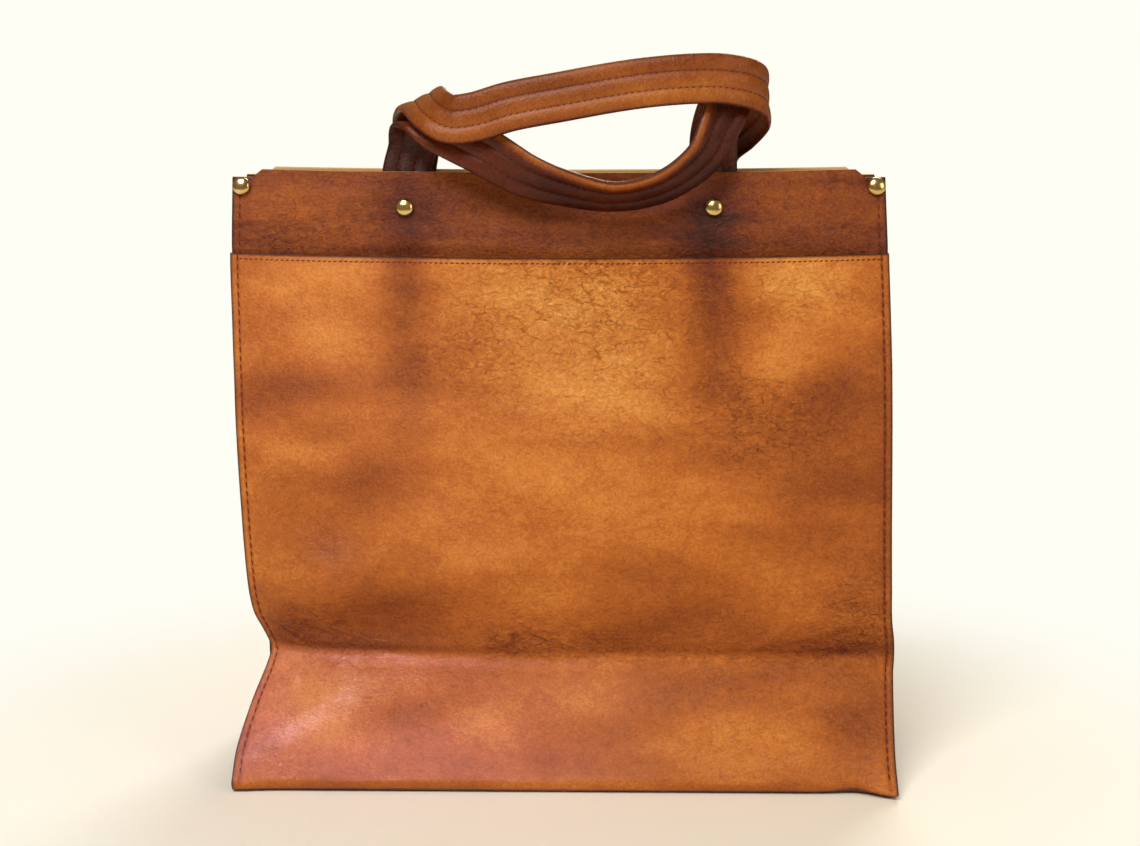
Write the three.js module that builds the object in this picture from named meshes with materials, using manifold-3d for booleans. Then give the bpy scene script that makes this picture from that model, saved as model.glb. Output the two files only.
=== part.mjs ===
// A standing leather tote bag: a folded body strip with a front pocket, gussets, two strap handles and
// cap rivets. Millimetres, +Z up, the front faces -Y, and the origin is at the middle of the base.
import * as THREE from "three";
import Module from "manifold-3d";

// Driving dimensions of the bag
const bagHeight = 340;
const panelWidth = 356;
const baseDepth = 140;
const baseFoldRadius = 7;
const topSag = 2;
const seamAllowance = 9;
const cornerTab = 11;
const cornerChamfer = 5;
const cornerDrop = 4.5;

// The front pocket: how far its mouth lies below the top, how it sags, and how slack it hangs
const pocketDrop = 46;
const pocketSag = 2.4;
const pocketSlack = 13.5;

// Leather and fits
const skinLeather = 2;
const panelLeather = 2;
const gussetLeather = 1.6;
const seamGap = 0.6;
const seatGap = 0.3;

// Strap handles
const strapWidth = 26;
const strapThickness = 5;
const strapEndThickness = 4;
const strapEndLength = 33;
const handleSpacing = 168;
const handleRise = 50;

// Cap rivets
const capRadius = 5;
const capHeight = 2.6;
const innerCapRadius = 4.2;
const innerCapHeight = 1.3;
const postRadius = 1.8;
const postClearance = 0.35;
const handleRivetDrop = 20;
const cornerRivetInset = 5;

const panelHalf = panelWidth / 2;
const baseHalf = baseDepth / 2;
const creaseHeight = baseDepth / 2;

// Heights on the bag are levels: 0 where the base fold begins, 1 at the crease, 2 at the top edge.
// middle, left and right: how far the wall stands out, as shares of half the base depth.
// leftEdge and rightEdge: where the raw edges run, as shares of half the panel width.
const frontSections = [
  { level: 0.000, middle: 1.000, left: 1.000, right: 1.000, leftEdge: 1.009, rightEdge: 1.036 },
  { level: 0.240, middle: 0.875, left: 0.860, right: 0.880, leftEdge: 1.003, rightEdge: 1.034 },
  { level: 0.600, middle: 0.735, left: 0.630, right: 0.730, leftEdge: 0.968, rightEdge: 1.036 },
  { level: 0.890, middle: 0.625, left: 0.380, right: 0.600, leftEdge: 0.932, rightEdge: 1.040 },
  { level: 1.000, middle: 0.582, left: 0.310, right: 0.540, leftEdge: 0.927, rightEdge: 1.046 },
  { level: 1.035, middle: 0.612, left: 0.335, right: 0.565, leftEdge: 0.945, rightEdge: 1.043 },
  { level: 1.080, middle: 0.650, left: 0.400, right: 0.600, leftEdge: 0.972, rightEdge: 1.034 },
  { level: 1.150, middle: 0.690, left: 0.470, right: 0.620, leftEdge: 0.985, rightEdge: 1.030 },
  { level: 1.320, middle: 0.712, left: 0.540, right: 0.630, leftEdge: 0.994, rightEdge: 1.023 },
  { level: 1.480, middle: 0.685, left: 0.550, right: 0.610, leftEdge: 1.002, rightEdge: 1.019 },
  { level: 1.640, middle: 0.638, left: 0.520, right: 0.570, leftEdge: 1.007, rightEdge: 1.014 },
  { level: 1.830, middle: 0.566, left: 0.470, right: 0.480, leftEdge: 1.012, rightEdge: 1.004 },
  { level: 2.000, middle: 0.380, left: 0.360, right: 0.360, leftEdge: 1.010, rightEdge: 0.994 },
];
const backSections = [
  { level: 0.000, middle: 1.000, left: 1.000, right: 1.000, leftEdge: 1.009, rightEdge: 1.036 },
  { level: 0.500, middle: 0.800, left: 0.765, right: 0.785, leftEdge: 1.000, rightEdge: 1.034 },
  { level: 1.000, middle: 0.605, left: 0.500, right: 0.550, leftEdge: 0.986, rightEdge: 1.036 },
  { level: 1.060, middle: 0.655, left: 0.540, right: 0.585, leftEdge: 0.990, rightEdge: 1.032 },
  { level: 1.200, middle: 0.705, left: 0.580, right: 0.610, leftEdge: 0.996, rightEdge: 1.027 },
  { level: 1.450, middle: 0.680, left: 0.570, right: 0.600, leftEdge: 1.002, rightEdge: 1.019 },
  { level: 1.750, middle: 0.520, left: 0.460, right: 0.480, leftEdge: 1.010, rightEdge: 1.008 },
  { level: 2.000, middle: 0.350, left: 0.335, right: 0.335, leftEdge: 1.010, rightEdge: 0.994 },
];

// Soft dents and swells of the front. across and wide: shares of half the panel width; level and tall:
// levels; deep: share of half the base depth, positive inwards; lean: how far one end sits higher.
const frontDents = [
  { across: -0.46, level: 1.660, wide: 0.085, tall: 0.150, deep: 0.050, lean: 0 },
  { across: 0.47, level: 1.650, wide: 0.080, tall: 0.170, deep: 0.055, lean: 0 },
  { across: -0.55, level: 1.070, wide: 0.260, tall: 0.060, deep: 0.060, lean: 0 },
  { across: 0.38, level: 1.085, wide: 0.240, tall: 0.060, deep: 0.045, lean: 0.05 },
  { across: -0.10, level: 1.210, wide: 0.340, tall: 0.045, deep: -0.035, lean: 0.03 },
  { across: -0.76, level: 1.260, wide: 0.110, tall: 0.070, deep: 0.045, lean: 0 },
  { across: 0.00, level: 1.500, wide: 0.200, tall: 0.140, deep: -0.030, lean: 0 },
  { across: 0.92, level: 1.045, wide: 0.060, tall: 0.040, deep: 0.045, lean: 0 },
  { across: -0.40, level: 0.450, wide: 0.220, tall: 0.200, deep: 0.035, lean: 0.10 },
  { across: 0.45, level: 0.500, wide: 0.260, tall: 0.180, deep: -0.025, lean: -0.10 },
];
const backDents = [
  { across: -0.47, level: 1.640, wide: 0.090, tall: 0.170, deep: 0.045, lean: 0 },
  { across: 0.46, level: 1.660, wide: 0.090, tall: 0.160, deep: 0.045, lean: 0 },
  { across: 0.30, level: 1.080, wide: 0.300, tall: 0.060, deep: 0.050, lean: 0.04 },
  { across: -0.45, level: 1.300, wide: 0.250, tall: 0.100, deep: 0.040, lean: 0.05 },
  { across: 0.10, level: 0.480, wide: 0.300, tall: 0.200, deep: 0.030, lean: 0 },
];

// Slack of the pocket over the panel behind it, as a share of pocketSlack, at levels of the front
const slackSections = [
  { level: 0.00, slack: 0.00 },
  { level: 0.70, slack: 0.12 },
  { level: 1.00, slack: 0.22 },
  { level: 1.15, slack: 0.84 },
  { level: 1.32, slack: 1.00 },
  { level: 1.48, slack: 0.92 },
  { level: 1.64, slack: 0.72 },
  { level: 1.83, slack: 0.46 },
  { level: 2.00, slack: 0.00 },
];

// The sewn corners of the base splay outwards: forward and lift as shares of half the base depth
const cornerSplay = { frontLeft: 0.03, frontRight: 0.13, backLeft: 0.05, backRight: 0.05 };
const splayStart = 0.86;
const splayLevel = -0.35;
const splayReach = 0.45;
const foldLift = 0.035;
const liftAcross = 0.88;
const liftWide = 0.06;

// Levels of the rows of each sheet, and the columns that all the panels share
const columns = [0, 0.2, 0.38, 0.54, 0.69, 0.82, 1 - (cornerTab + cornerChamfer) / panelHalf,
  1 - cornerTab / panelHalf, 0.97, 1];
const upperRows = [1.69, 1.55, 1.41, 1.29, 1.2, 1.13, 1.08, 1.045, 1.018];
const lowerRows = [1, 0.95, 0.82, 0.6, 0.38, 0.18, 0];
const foldRows = [-0.33, -0.66, -1];
const frontRows = [1.78, ...upperRows, ...lowerRows, ...foldRows];
const backUpperRows = [1.045, 1.13, 1.26, 1.42, 1.6, 1.77, 1.926, 1.965];
const backRows = [-2, ...[...lowerRows, ...foldRows].reverse(), ...backUpperRows];
const innerRows = [1.965, 1.926, 1.83, 1.78, ...upperRows, ...lowerRows, foldRows[0]];
const gussetRows = [1.926, 1.83, 1.69, 1.41, 1.2, 1.13, 1.08, 1.045, 1.018, ...lowerRows.slice(0, -1), 0.1];

// Value of a table's column at a place between its rows, on a smooth curve through them
function along(table, key, column, at) {
  const last = table.length - 1;
  let i = 0;
  while (i < last - 1 && at > table[i + 1][key]) i += 1;
  const before = table[Math.max(i - 1, 0)];
  const a = table[i];
  const b = table[i + 1];
  const after = table[Math.min(i + 2, last)];
  const span = b[key] - a[key];
  const t = THREE.MathUtils.clamp((at - a[key]) / span, 0, 1);
  const slope = (from, to) => (to[column] - from[column]) / (to[key] - from[key]);
  const slopeA = slope(i > 0 ? before : a, b);
  const slopeB = slope(a, i + 2 <= last ? after : b);
  const t2 = t * t;
  const t3 = t2 * t;
  return (2 * t3 - 3 * t2 + 1) * a[column] + (t3 - 2 * t2 + t) * slopeA * span
    + (3 * t2 - 2 * t3) * b[column] + (t3 - t2) * slopeB * span;
}

function heightOf(level) {
  if (level > 1) return creaseHeight + (level - 1) * (bagHeight - creaseHeight);
  return baseFoldRadius + level * (creaseHeight - baseFoldRadius);
}

function levelOf(height) {
  if (height > creaseHeight) return 1 + (height - creaseHeight) / (bagHeight - creaseHeight);
  return (height - baseFoldRadius) / (creaseHeight - baseFoldRadius);
}

function dentDepth(dents, across, level) {
  let depth = 0;
  for (const dent of dents) {
    const dx = (across - dent.across) / dent.wide;
    const dz = (level - dent.level - dent.lean * dx) / dent.tall;
    depth += dent.deep * Math.exp(-dx * dx - dz * dz);
  }
  return depth * baseHalf * (1 - across ** 8);
}

// The two outer faces of the bag. across runs from -1, the left raw edge, to 1, the right one. Below
// level 0 the wall turns through the base fold, to -1, and then runs under the base to its middle, -2.
const front = {
  sections: frontSections,
  dents: frontDents,
  facing: -1,
  splay: [cornerSplay.frontLeft, cornerSplay.frontRight],
};
const back = {
  sections: backSections,
  dents: backDents,
  facing: 1,
  splay: [cornerSplay.backLeft, cornerSplay.backRight],
};

function wallPoint(wall, across, level) {
  const onWall = Math.max(level, 0);
  const edge = along(wall.sections, "level", across < 0 ? "leftEdge" : "rightEdge", onWall);
  const middle = along(wall.sections, "level", "middle", onWall);
  const side = along(wall.sections, "level", across < 0 ? "left" : "right", onWall);
  let depth = (side + (middle - side) * (1 - across ** 4)) * baseHalf;
  let height = heightOf(onWall);
  if (level < 0) {
    const turn = Math.min(-level, 1) * Math.PI / 2;
    depth -= baseFoldRadius * (1 - Math.cos(turn));
    height = baseFoldRadius * (1 - Math.sin(turn));
  } else {
    depth -= dentDepth(wall.dents, across, level);
  }
  if (level < -1) depth *= level + 2;
  const nearFold = Math.exp(-(((level - splayLevel) / splayReach) ** 2));
  const corner = THREE.MathUtils.smoothstep(Math.abs(across), splayStart, 1);
  depth += wall.splay[across < 0 ? 0 : 1] * baseHalf * corner * nearFold;
  const hump = Math.exp(-(((Math.abs(across) - liftAcross) / liftWide) ** 2));
  if (wall === front && across > 0 && level > -1) height += foldLift * baseHalf * hump * nearFold;
  return new THREE.Vector3(across * panelHalf * edge, wall.facing * depth, height);
}

function wallNormal(wall, across, level) {
  const step = 0.004;
  const sideways = wallPoint(wall, Math.min(across + step, 1), level)
    .sub(wallPoint(wall, Math.max(across - step, -1), level));
  const upwards = wallPoint(wall, across, Math.min(level + step, 2))
    .sub(wallPoint(wall, across, Math.max(level - step, -2)));
  return sideways.cross(upwards).multiplyScalar(-wall.facing).normalize();
}

// A point that lies a distance inside the outer face of a wall
function inside(wall, across, level, distance) {
  return wallPoint(wall, across, level).addScaledVector(wallNormal(wall, across, level), -distance);
}

// A sheet's outer face: the wall that it belongs to and how deep inside that wall's outer face it lies
function pointOn(face, across, level) {
  return inside(face.wall, across, level, face.depth(across, level));
}

function normalOn(face, across, level) {
  const step = 0.01;
  const sideways = pointOn(face, across + step, level).sub(pointOn(face, across - step, level));
  const upwards = pointOn(face, across, level + step).sub(pointOn(face, across, level - step));
  return sideways.cross(upwards).multiplyScalar(-face.wall.facing).normalize();
}

// Top edge: a little sag between the chamfers, and a lower tab at each corner
function topLevel(across) {
  const fromEdge = (1 - Math.abs(across)) * panelHalf;
  const chamfer = THREE.MathUtils.clamp((cornerTab + cornerChamfer - fromEdge) / cornerChamfer, 0, 1);
  const drop = chamfer * cornerDrop;
  const sag = drop > 0 ? 0 : topSag * (1 - across * across);
  return levelOf(bagHeight - drop - sag);
}

function mouthLevel(across) {
  return levelOf(bagHeight - pocketDrop - pocketSag * (1 - across * across));
}

function pocketGapAt(across, level) {
  return pocketSlack * along(slackSections, "level", "slack", Math.max(level, 0)) * (1 - across ** 6);
}

// A closed body from rings of points: every ring is an upper row of points and then the lower row back
function loft(rings) {
  const size = rings[0].length;
  const half = size / 2;
  const positions = rings.flat().flatMap((point) => [point.x, point.y, point.z]);
  const triangles = [];
  for (let row = 0; row < rings.length - 1; row += 1) {
    for (let i = 0; i < size; i += 1) {
      const a = row * size + i;
      const b = row * size + (i + 1) % size;
      triangles.push(a, b, b + size, a, b + size, a + size);
    }
  }
  const end = (rings.length - 1) * size;
  for (let i = 0; i < half - 1; i += 1) {
    const opposite = size - 1 - i;
    triangles.push(i, opposite, opposite - 1, i, opposite - 1, i + 1);
    triangles.push(end + i, end + opposite - 1, end + opposite, end + i, end + i + 1, end + opposite - 1);
  }
  const geometry = new THREE.BufferGeometry();
  geometry.setAttribute("position", new THREE.Float32BufferAttribute(positions, 3));
  geometry.setIndex(triangles);
  if (volumeOf(geometry) < 0) geometry.setIndex([...triangles].reverse());
  return geometry;
}

function volumeOf(geometry) {
  const place = geometry.getAttribute("position");
  const index = geometry.getIndex();
  const corner = [new THREE.Vector3(), new THREE.Vector3(), new THREE.Vector3()];
  let volume = 0;
  for (let i = 0; i < index.count; i += 3) {
    corner.forEach((point, k) => point.fromBufferAttribute(place, index.getX(i + k)));
    volume += corner[0].dot(corner[1].cross(corner[2])) / 6;
  }
  return volume;
}

const wasm = await Module();
wasm.setup();

function toSolid(geometry) {
  return new wasm.Manifold(new wasm.Mesh({
    numProp: 3,
    vertProperties: new Float32Array(geometry.getAttribute("position").array),
    triVerts: new Uint32Array(geometry.getIndex().array),
  }));
}

function cut(geometry, cutters) {
  let solid = toSolid(geometry);
  for (const cutter of cutters) solid = solid.subtract(toSolid(cutter));
  const mesh = solid.getMesh();
  const result = new THREE.BufferGeometry();
  result.setAttribute("position", new THREE.BufferAttribute(new Float32Array(mesh.vertProperties), 3));
  result.setIndex(new THREE.BufferAttribute(new Uint32Array(mesh.triVerts), 1));
  return result;
}

const allColumns = [...columns.slice(1).reverse().map((across) => -across), ...columns];

// One ring of a sheet: its outer face from left to right, then its inner face back again
function sheetRing(wall, levelAt, depthAt, thickness) {
  const outer = [];
  const inner = [];
  for (const across of allColumns) {
    const level = levelAt(across);
    const depth = depthAt(across, level);
    outer.push(inside(wall, across, level, depth));
    inner.unshift(inside(wall, across, level, depth + thickness));
  }
  return [...outer, ...inner];
}

// Body panel: one strip that is the pocket's front, the base and the back
function bodyPanel() {
  const onFace = () => 0;
  const rings = [
    sheetRing(front, mouthLevel, onFace, skinLeather),
    ...frontRows.map((level) => sheetRing(front, () => level, onFace, skinLeather)),
    ...backRows.map((level) => sheetRing(back, () => level, onFace, skinLeather)),
    sheetRing(back, topLevel, onFace, skinLeather),
  ];
  return loft(rings);
}

// Front panel: behind the pocket, from the top edge down into the base fold
const panelDepthAt = (across, level) => skinLeather + seamGap + pocketGapAt(across, level);
const panelFace = { wall: front, depth: panelDepthAt, leather: panelLeather };
const backFace = { wall: back, depth: () => 0, leather: skinLeather };

function frontPanel() {
  return loft([
    sheetRing(front, topLevel, panelDepthAt, panelLeather),
    ...innerRows.map((level) => sheetRing(front, () => level, panelDepthAt, panelLeather)),
  ]);
}

// Gussets: flanges along the inner faces of the front and back, and a valley folded inwards between them
const frontStack = (across, level) => panelDepthAt(across, level) + panelLeather + seamGap + gussetLeather;
const backStack = () => skinLeather + seamGap + gussetLeather;
const flangeShare = seamAllowance / panelHalf;
const valleyBlunt = 1.4;
const valleyRamp = 0.38;
const wallShares = [0.08, 0.36, 0.68, 0.94];

function flangeEnds(side, level) {
  const across = side * (1 - flangeShare);
  return [
    inside(front, across, level, frontStack(across, level)),
    inside(back, across, level, backStack()),
  ];
}

function gussetProfile(side, level) {
  const [frontEnd, backEnd] = flangeEnds(side, level);
  const [frontFoot, backFoot] = flangeEnds(side, 0);
  const reach = (backFoot.y - frontFoot.y) / 2;
  const halfGap = (backEnd.y - frontEnd.y) / 2;
  const fold = frontEnd.clone().add(backEnd).multiplyScalar(0.5);
  const ramp = THREE.MathUtils.clamp(level / valleyRamp, 0, 1);
  fold.x -= side * Math.sqrt(Math.max(reach * reach - halfGap * halfGap, 0) * ramp);
  const edgeSteps = [0, flangeShare / 2, flangeShare];
  const tip = fold.clone();
  tip.x += side * valleyBlunt * Math.min(1, Math.abs(fold.x - frontEnd.x) / seamAllowance);
  const edgePoint = (wall, stack, step) => {
    const across = side * (1 - step);
    return inside(wall, across, level, stack(across, level));
  };
  return [
    ...edgeSteps.map((step) => edgePoint(front, frontStack, step)),
    ...wallShares.map((share) => frontEnd.clone().lerp(fold, share)),
    tip,
    ...wallShares.map((share) => backEnd.clone().lerp(fold, share)).reverse(),
    ...edgeSteps.map((step) => edgePoint(back, backStack, step)).reverse(),
  ];
}

// The lowest rows turn outwards over the side margins of the base: shares of the seam allowance
const footRows = [
  { rise: 0.39, out: 0.0 },
  { rise: 0.13, out: 0.12 },
  { rise: 0.03, out: 0.5 },
  { rise: 0.0, out: 1.0 },
];
const flangeFoot = 0.07;
const flangeStep = 0.2;

function gusset(side) {
  const top = levelOf(bagHeight - cornerDrop);
  const profiles = [top, ...gussetRows].map((level) => gussetProfile(side, level));
  const floor = skinLeather + seamGap + gussetLeather;
  const foot = gussetProfile(side, 0);
  const flange = gussetProfile(side, flangeFoot);
  const lastWall = foot.length - 4;
  footRows.forEach((row, step) => {
    profiles.push(foot.map((point, i) => {
      if (i < 3 || i > lastWall) return flange[i].clone().setZ(flange[i].z - flangeStep * step);
      const place = point.clone();
      const besideFlange = i === 3 || i === lastWall;
      place.z = floor + seamAllowance * row.rise;
      place.x += side * seamAllowance * row.out * (besideFlange ? 0 : 1);
      return place;
    }));
  });
  const rings = profiles.map((profile, row) => {
    const inner = profile.map((point, i) => {
      const before = profile[Math.max(i - 1, 0)];
      const after = profile[Math.min(i + 1, profile.length - 1)];
      const above = profiles[Math.max(row - 1, 0)][i];
      const below = profiles[Math.min(row + 1, profiles.length - 1)][i];
      const arriving = point.clone().sub(before).normalize();
      const leaving = after.clone().sub(point).normalize();
      const towards = arriving.clone().add(leaving);
      const upwards = above.clone().sub(point).normalize().add(point.clone().sub(below).normalize());
      const inwards = upwards.cross(towards).multiplyScalar(side).normalize();
      const miter = 1 / Math.max(Math.sqrt((1 + arriving.dot(leaving)) / 2), 0.7);
      const atEnd = i === 0 || i === profile.length - 1;
      return point.clone().addScaledVector(inwards, gussetLeather * (atEnd ? 1 : miter));
    });
    return [...profile, ...inner.reverse()];
  });
  return loft(rings);
}

// Strap handles. Each row is a place on the centre line and the way its inner side faces.
// across: share of half the handle spacing; up: share of the handle's rise above the bag's top edge;
// out: share of that rise, forward of the middle of the mouth.
const frontHandleRows = [
  { across: -0.970, up: 0.22, out: 0.36, faceX: 0.00, faceY: -1.00, faceZ: 0.00 },
  { across: -0.955, up: 0.40, out: 0.44, faceX: 0.15, faceY: -0.80, faceZ: -0.55 },
  { across: -0.880, up: 0.49, out: 0.62, faceX: 0.45, faceY: 0.00, faceZ: -0.88 },
  { across: -0.740, up: 0.39, out: 0.80, faceX: 0.30, faceY: 0.80, faceZ: -0.40 },
  { across: -0.490, up: 0.19, out: 0.93, faceX: 0.00, faceY: 1.00, faceZ: 0.10 },
  { across: -0.220, up: -0.07, out: 0.95, faceX: 0.00, faceY: 0.85, faceZ: 0.45 },
  { across: 0.010, up: -0.20, out: 0.94, faceX: 0.00, faceY: 0.70, faceZ: 0.68 },
  { across: 0.330, up: -0.30, out: 0.92, faceX: 0.00, faceY: 0.56, faceZ: 0.83 },
  { across: 0.580, up: -0.24, out: 0.92, faceX: -0.15, faceY: 0.60, faceZ: 0.78 },
  { across: 0.770, up: -0.09, out: 0.92, faceX: -0.35, faceY: 0.65, faceZ: 0.65 },
  { across: 0.930, up: 0.15, out: 0.92, faceX: -0.50, faceY: 0.72, faceZ: 0.40 },
  { across: 1.010, up: 0.42, out: 0.88, faceX: -0.50, faceY: 0.80, faceZ: 0.15 },
  { across: 1.060, up: 0.64, out: 0.76, faceX: -0.45, faceY: 0.60, faceZ: -0.55 },
  { across: 1.070, up: 0.71, out: 0.60, faceX: -0.30, faceY: 0.00, faceZ: -0.95 },
  { across: 1.040, up: 0.62, out: 0.44, faceX: -0.15, faceY: -0.70, faceZ: -0.60 },
  { across: 1.000, up: 0.36, out: 0.40, faceX: 0.00, faceY: -1.00, faceZ: 0.00 },
];
const backHandleRows = [
  { across: -0.980, up: 0.26, out: -0.35, faceX: 0.00, faceY: -1.00, faceZ: 0.00 },
  { across: -0.980, up: 0.50, out: -0.28, faceX: 0.10, faceY: -0.85, faceZ: -0.50 },
  { across: -0.950, up: 0.66, out: -0.04, faceX: 0.30, faceY: -0.45, faceZ: -0.84 },
  { across: -0.905, up: 0.73, out: 0.24, faceX: 0.45, faceY: -0.10, faceZ: -0.89 },
  { across: -0.870, up: 0.71, out: 0.58, faceX: 0.55, faceY: 0.10, faceZ: -0.83 },
  { across: -0.780, up: 0.62, out: 0.92, faceX: 0.50, faceY: 0.70, faceZ: -0.50 },
  { across: -0.595, up: 0.51, out: 1.08, faceX: 0.10, faceY: 0.99, faceZ: -0.05 },
  { across: -0.310, up: 0.65, out: 1.13, faceX: 0.00, faceY: 1.00, faceZ: -0.10 },
  { across: 0.010, up: 0.75, out: 1.15, faceX: 0.00, faceY: 1.00, faceZ: -0.10 },
  { across: 0.380, up: 0.86, out: 1.15, faceX: 0.00, faceY: 1.00, faceZ: -0.10 },
  { across: 0.610, up: 0.91, out: 1.14, faceX: 0.00, faceY: 1.00, faceZ: -0.10 },
  { across: 0.850, up: 0.94, out: 1.11, faceX: 0.00, faceY: 1.00, faceZ: -0.05 },
  { across: 1.030, up: 0.94, out: 1.05, faceX: -0.15, faceY: 0.98, faceZ: 0.00 },
  { across: 1.210, up: 0.89, out: 0.90, faceX: -0.60, faceY: 0.80, faceZ: 0.00 },
  { across: 1.310, up: 0.79, out: 0.64, faceX: -1.00, faceY: 0.10, faceZ: 0.00 },
  { across: 1.290, up: 0.63, out: 0.36, faceX: -0.75, faceY: -0.66, faceZ: 0.00 },
  { across: 1.180, up: 0.43, out: 0.06, faceX: -0.30, faceY: -0.95, faceZ: 0.00 },
  { across: 1.060, up: 0.24, out: -0.24, faceX: -0.05, faceY: -1.00, faceZ: 0.00 },
];

// Half section of a strap: three rounded lobes between two sewn channels, as shares of half its width
// and half its thickness
const strapLobes = [
  { across: -1.00, proud: 0.40 },
  { across: -0.84, proud: 0.95 },
  { across: -0.36, proud: 0.66 },
  { across: 0.00, proud: 1.00 },
  { across: 0.36, proud: 0.66 },
  { across: 0.84, proud: 0.95 },
  { across: 1.00, proud: 0.40 },
];
const stepsPerRow = 2;

// Where a strap end lies flat against the inner face of a wall, at a height
function strapSeat(face, side, height) {
  const across = side * handleSpacing / 2 / panelHalf;
  const level = levelOf(height);
  const normal = normalOn(face, across, level);
  const depth = face.leather + seamGap + strapEndThickness / 2;
  return { place: pointOn(face, across, level).addScaledVector(normal, -depth), normal };
}

function strapRing(place, alongStrap, face, thickness) {
  const sideways = alongStrap.clone().cross(face).normalize();
  const outwards = sideways.clone().cross(alongStrap).normalize();
  const corner = (lobe, sign) => place.clone()
    .addScaledVector(sideways, lobe.across * strapWidth / 2)
    .addScaledVector(outwards, sign * lobe.proud * thickness / 2);
  return [
    ...strapLobes.map((lobe) => corner(lobe, 1)),
    ...strapLobes.map((lobe) => corner(lobe, -1)).reverse(),
  ];
}

function handle(wallFace, rows) {
  const low = bagHeight - strapEndLength;
  const high = bagHeight - topSag;
  const seats = (side, heights) => heights.map((height) => {
    const seat = strapSeat(wallFace, side, height);
    return { place: seat.place, face: seat.normal.multiplyScalar(-wallFace.wall.facing), seated: 1 };
  });
  const free = rows.map((row) => ({
    place: new THREE.Vector3(row.across * handleSpacing / 2, -row.out * handleRise,
      bagHeight + row.up * handleRise),
    face: new THREE.Vector3(row.faceX, row.faceY, row.faceZ),
    seated: 0,
  }));
  const middle = (low + high) / 2;
  const stations = [...seats(-1, [low, middle, high]), ...free, ...seats(1, [high, middle, low])];
  const route = new THREE.CatmullRomCurve3(stations.map((station) => station.place), false, "centripetal");
  const lastStation = stations.length - 1;
  const rings = [];
  for (let step = 0; step <= lastStation * stepsPerRow; step += 1) {
    const i = Math.min(Math.floor(step / stepsPerRow), lastStation - 1);
    const blend = step / stepsPerRow - i;
    const face = stations[i].face.clone().lerp(stations[i + 1].face, blend).normalize();
    const seated = THREE.MathUtils.lerp(stations[i].seated, stations[i + 1].seated, blend);
    const thickness = THREE.MathUtils.lerp(strapThickness, strapEndThickness, seated);
    const t = step / (lastStation * stepsPerRow);
    rings.push(strapRing(route.getPoint(t), route.getTangent(t), face, thickness));
  }
  return loft(rings);
}

// A cap rivet: a domed outer cap, the post, and a flat inner cap that holds everything in its grip
const rivetSides = 8;
const capGap = 0.5;

function rivetGeometry(grip) {
  const innerFace = -grip - capGap - seatGap;
  const profile = [
    new THREE.Vector2(0, capHeight),
    new THREE.Vector2(capRadius * 0.5, capHeight * 0.87),
    new THREE.Vector2(capRadius * 0.86, capHeight * 0.5),
    new THREE.Vector2(capRadius, 0),
    new THREE.Vector2(postRadius, 0),
    new THREE.Vector2(postRadius, innerFace),
    new THREE.Vector2(innerCapRadius, innerFace),
    new THREE.Vector2(innerCapRadius * 0.85, innerFace - innerCapHeight),
    new THREE.Vector2(0, innerFace - innerCapHeight),
  ];
  return new THREE.LatheGeometry(profile.reverse(), rivetSides);
}

const handleRivetAcross = handleSpacing / 2 / panelHalf;
const cornerRivetAcross = 1 - cornerRivetInset / panelHalf;
const handleRivetHeight = bagHeight - handleRivetDrop;
const cornerRivetHeight = bagHeight - cornerDrop - cornerRivetInset;
const rivetPlaces = [];
for (const face of [panelFace, backFace]) {
  for (const side of [-1, 1]) {
    const faceName = face === panelFace ? "front" : "back";
    const sideName = side < 0 ? "left" : "right";
    rivetPlaces.push({
      name: `handle_rivet_${faceName}_${sideName}`, face, across: side * handleRivetAcross,
      height: handleRivetHeight, grip: face.leather + seamGap + strapEndThickness,
    });
    rivetPlaces.push({
      name: `corner_rivet_${faceName}_${sideName}`, face, across: side * cornerRivetAcross,
      height: cornerRivetHeight, grip: face.leather + seamGap + gussetLeather,
    });
  }
}

// A shape made along +Y is turned so that it points out of the wall, a distance off its face
function seatOn(object, place, lift) {
  const level = levelOf(place.height);
  const normal = normalOn(place.face, place.across, level);
  object.position.copy(pointOn(place.face, place.across, level)).addScaledVector(normal, lift);
  object.quaternion.setFromUnitVectors(new THREE.Vector3(0, 1, 0), normal);
  object.updateMatrix();
  return object;
}

function indexed(geometry) {
  const place = geometry.getAttribute("position");
  const keys = new Map();
  const positions = [];
  const rename = [];
  for (let i = 0; i < place.count; i += 1) {
    const point = [place.getX(i), place.getY(i), place.getZ(i)];
    const key = point.map((value) => Math.round(value * 1e4)).join();
    if (!keys.has(key)) {
      keys.set(key, positions.length / 3);
      positions.push(...point);
    }
    rename.push(keys.get(key));
  }
  const old = geometry.getIndex() ? [...geometry.getIndex().array] : [...Array(place.count).keys()];
  const triangles = [];
  for (let i = 0; i < old.length; i += 3) {
    const [a, b, c] = [rename[old[i]], rename[old[i + 1]], rename[old[i + 2]]];
    if (a !== b && b !== c && a !== c) triangles.push(a, b, c);
  }
  const result = new THREE.BufferGeometry();
  result.setAttribute("position", new THREE.Float32BufferAttribute(positions, 3));
  result.setIndex(triangles);
  if (volumeOf(result) < 0) result.setIndex(triangles.reverse());
  return result;
}

function holesFor(filter) {
  const length = 30;
  return rivetPlaces.filter(filter).map((place) => {
    const drill = indexed(new THREE.CylinderGeometry(postRadius + postClearance, postRadius + postClearance,
      length, rivetSides));
    const seat = seatOn(new THREE.Object3D(), place, 0);
    return drill.applyMatrix4(seat.matrix);
  });
}

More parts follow.
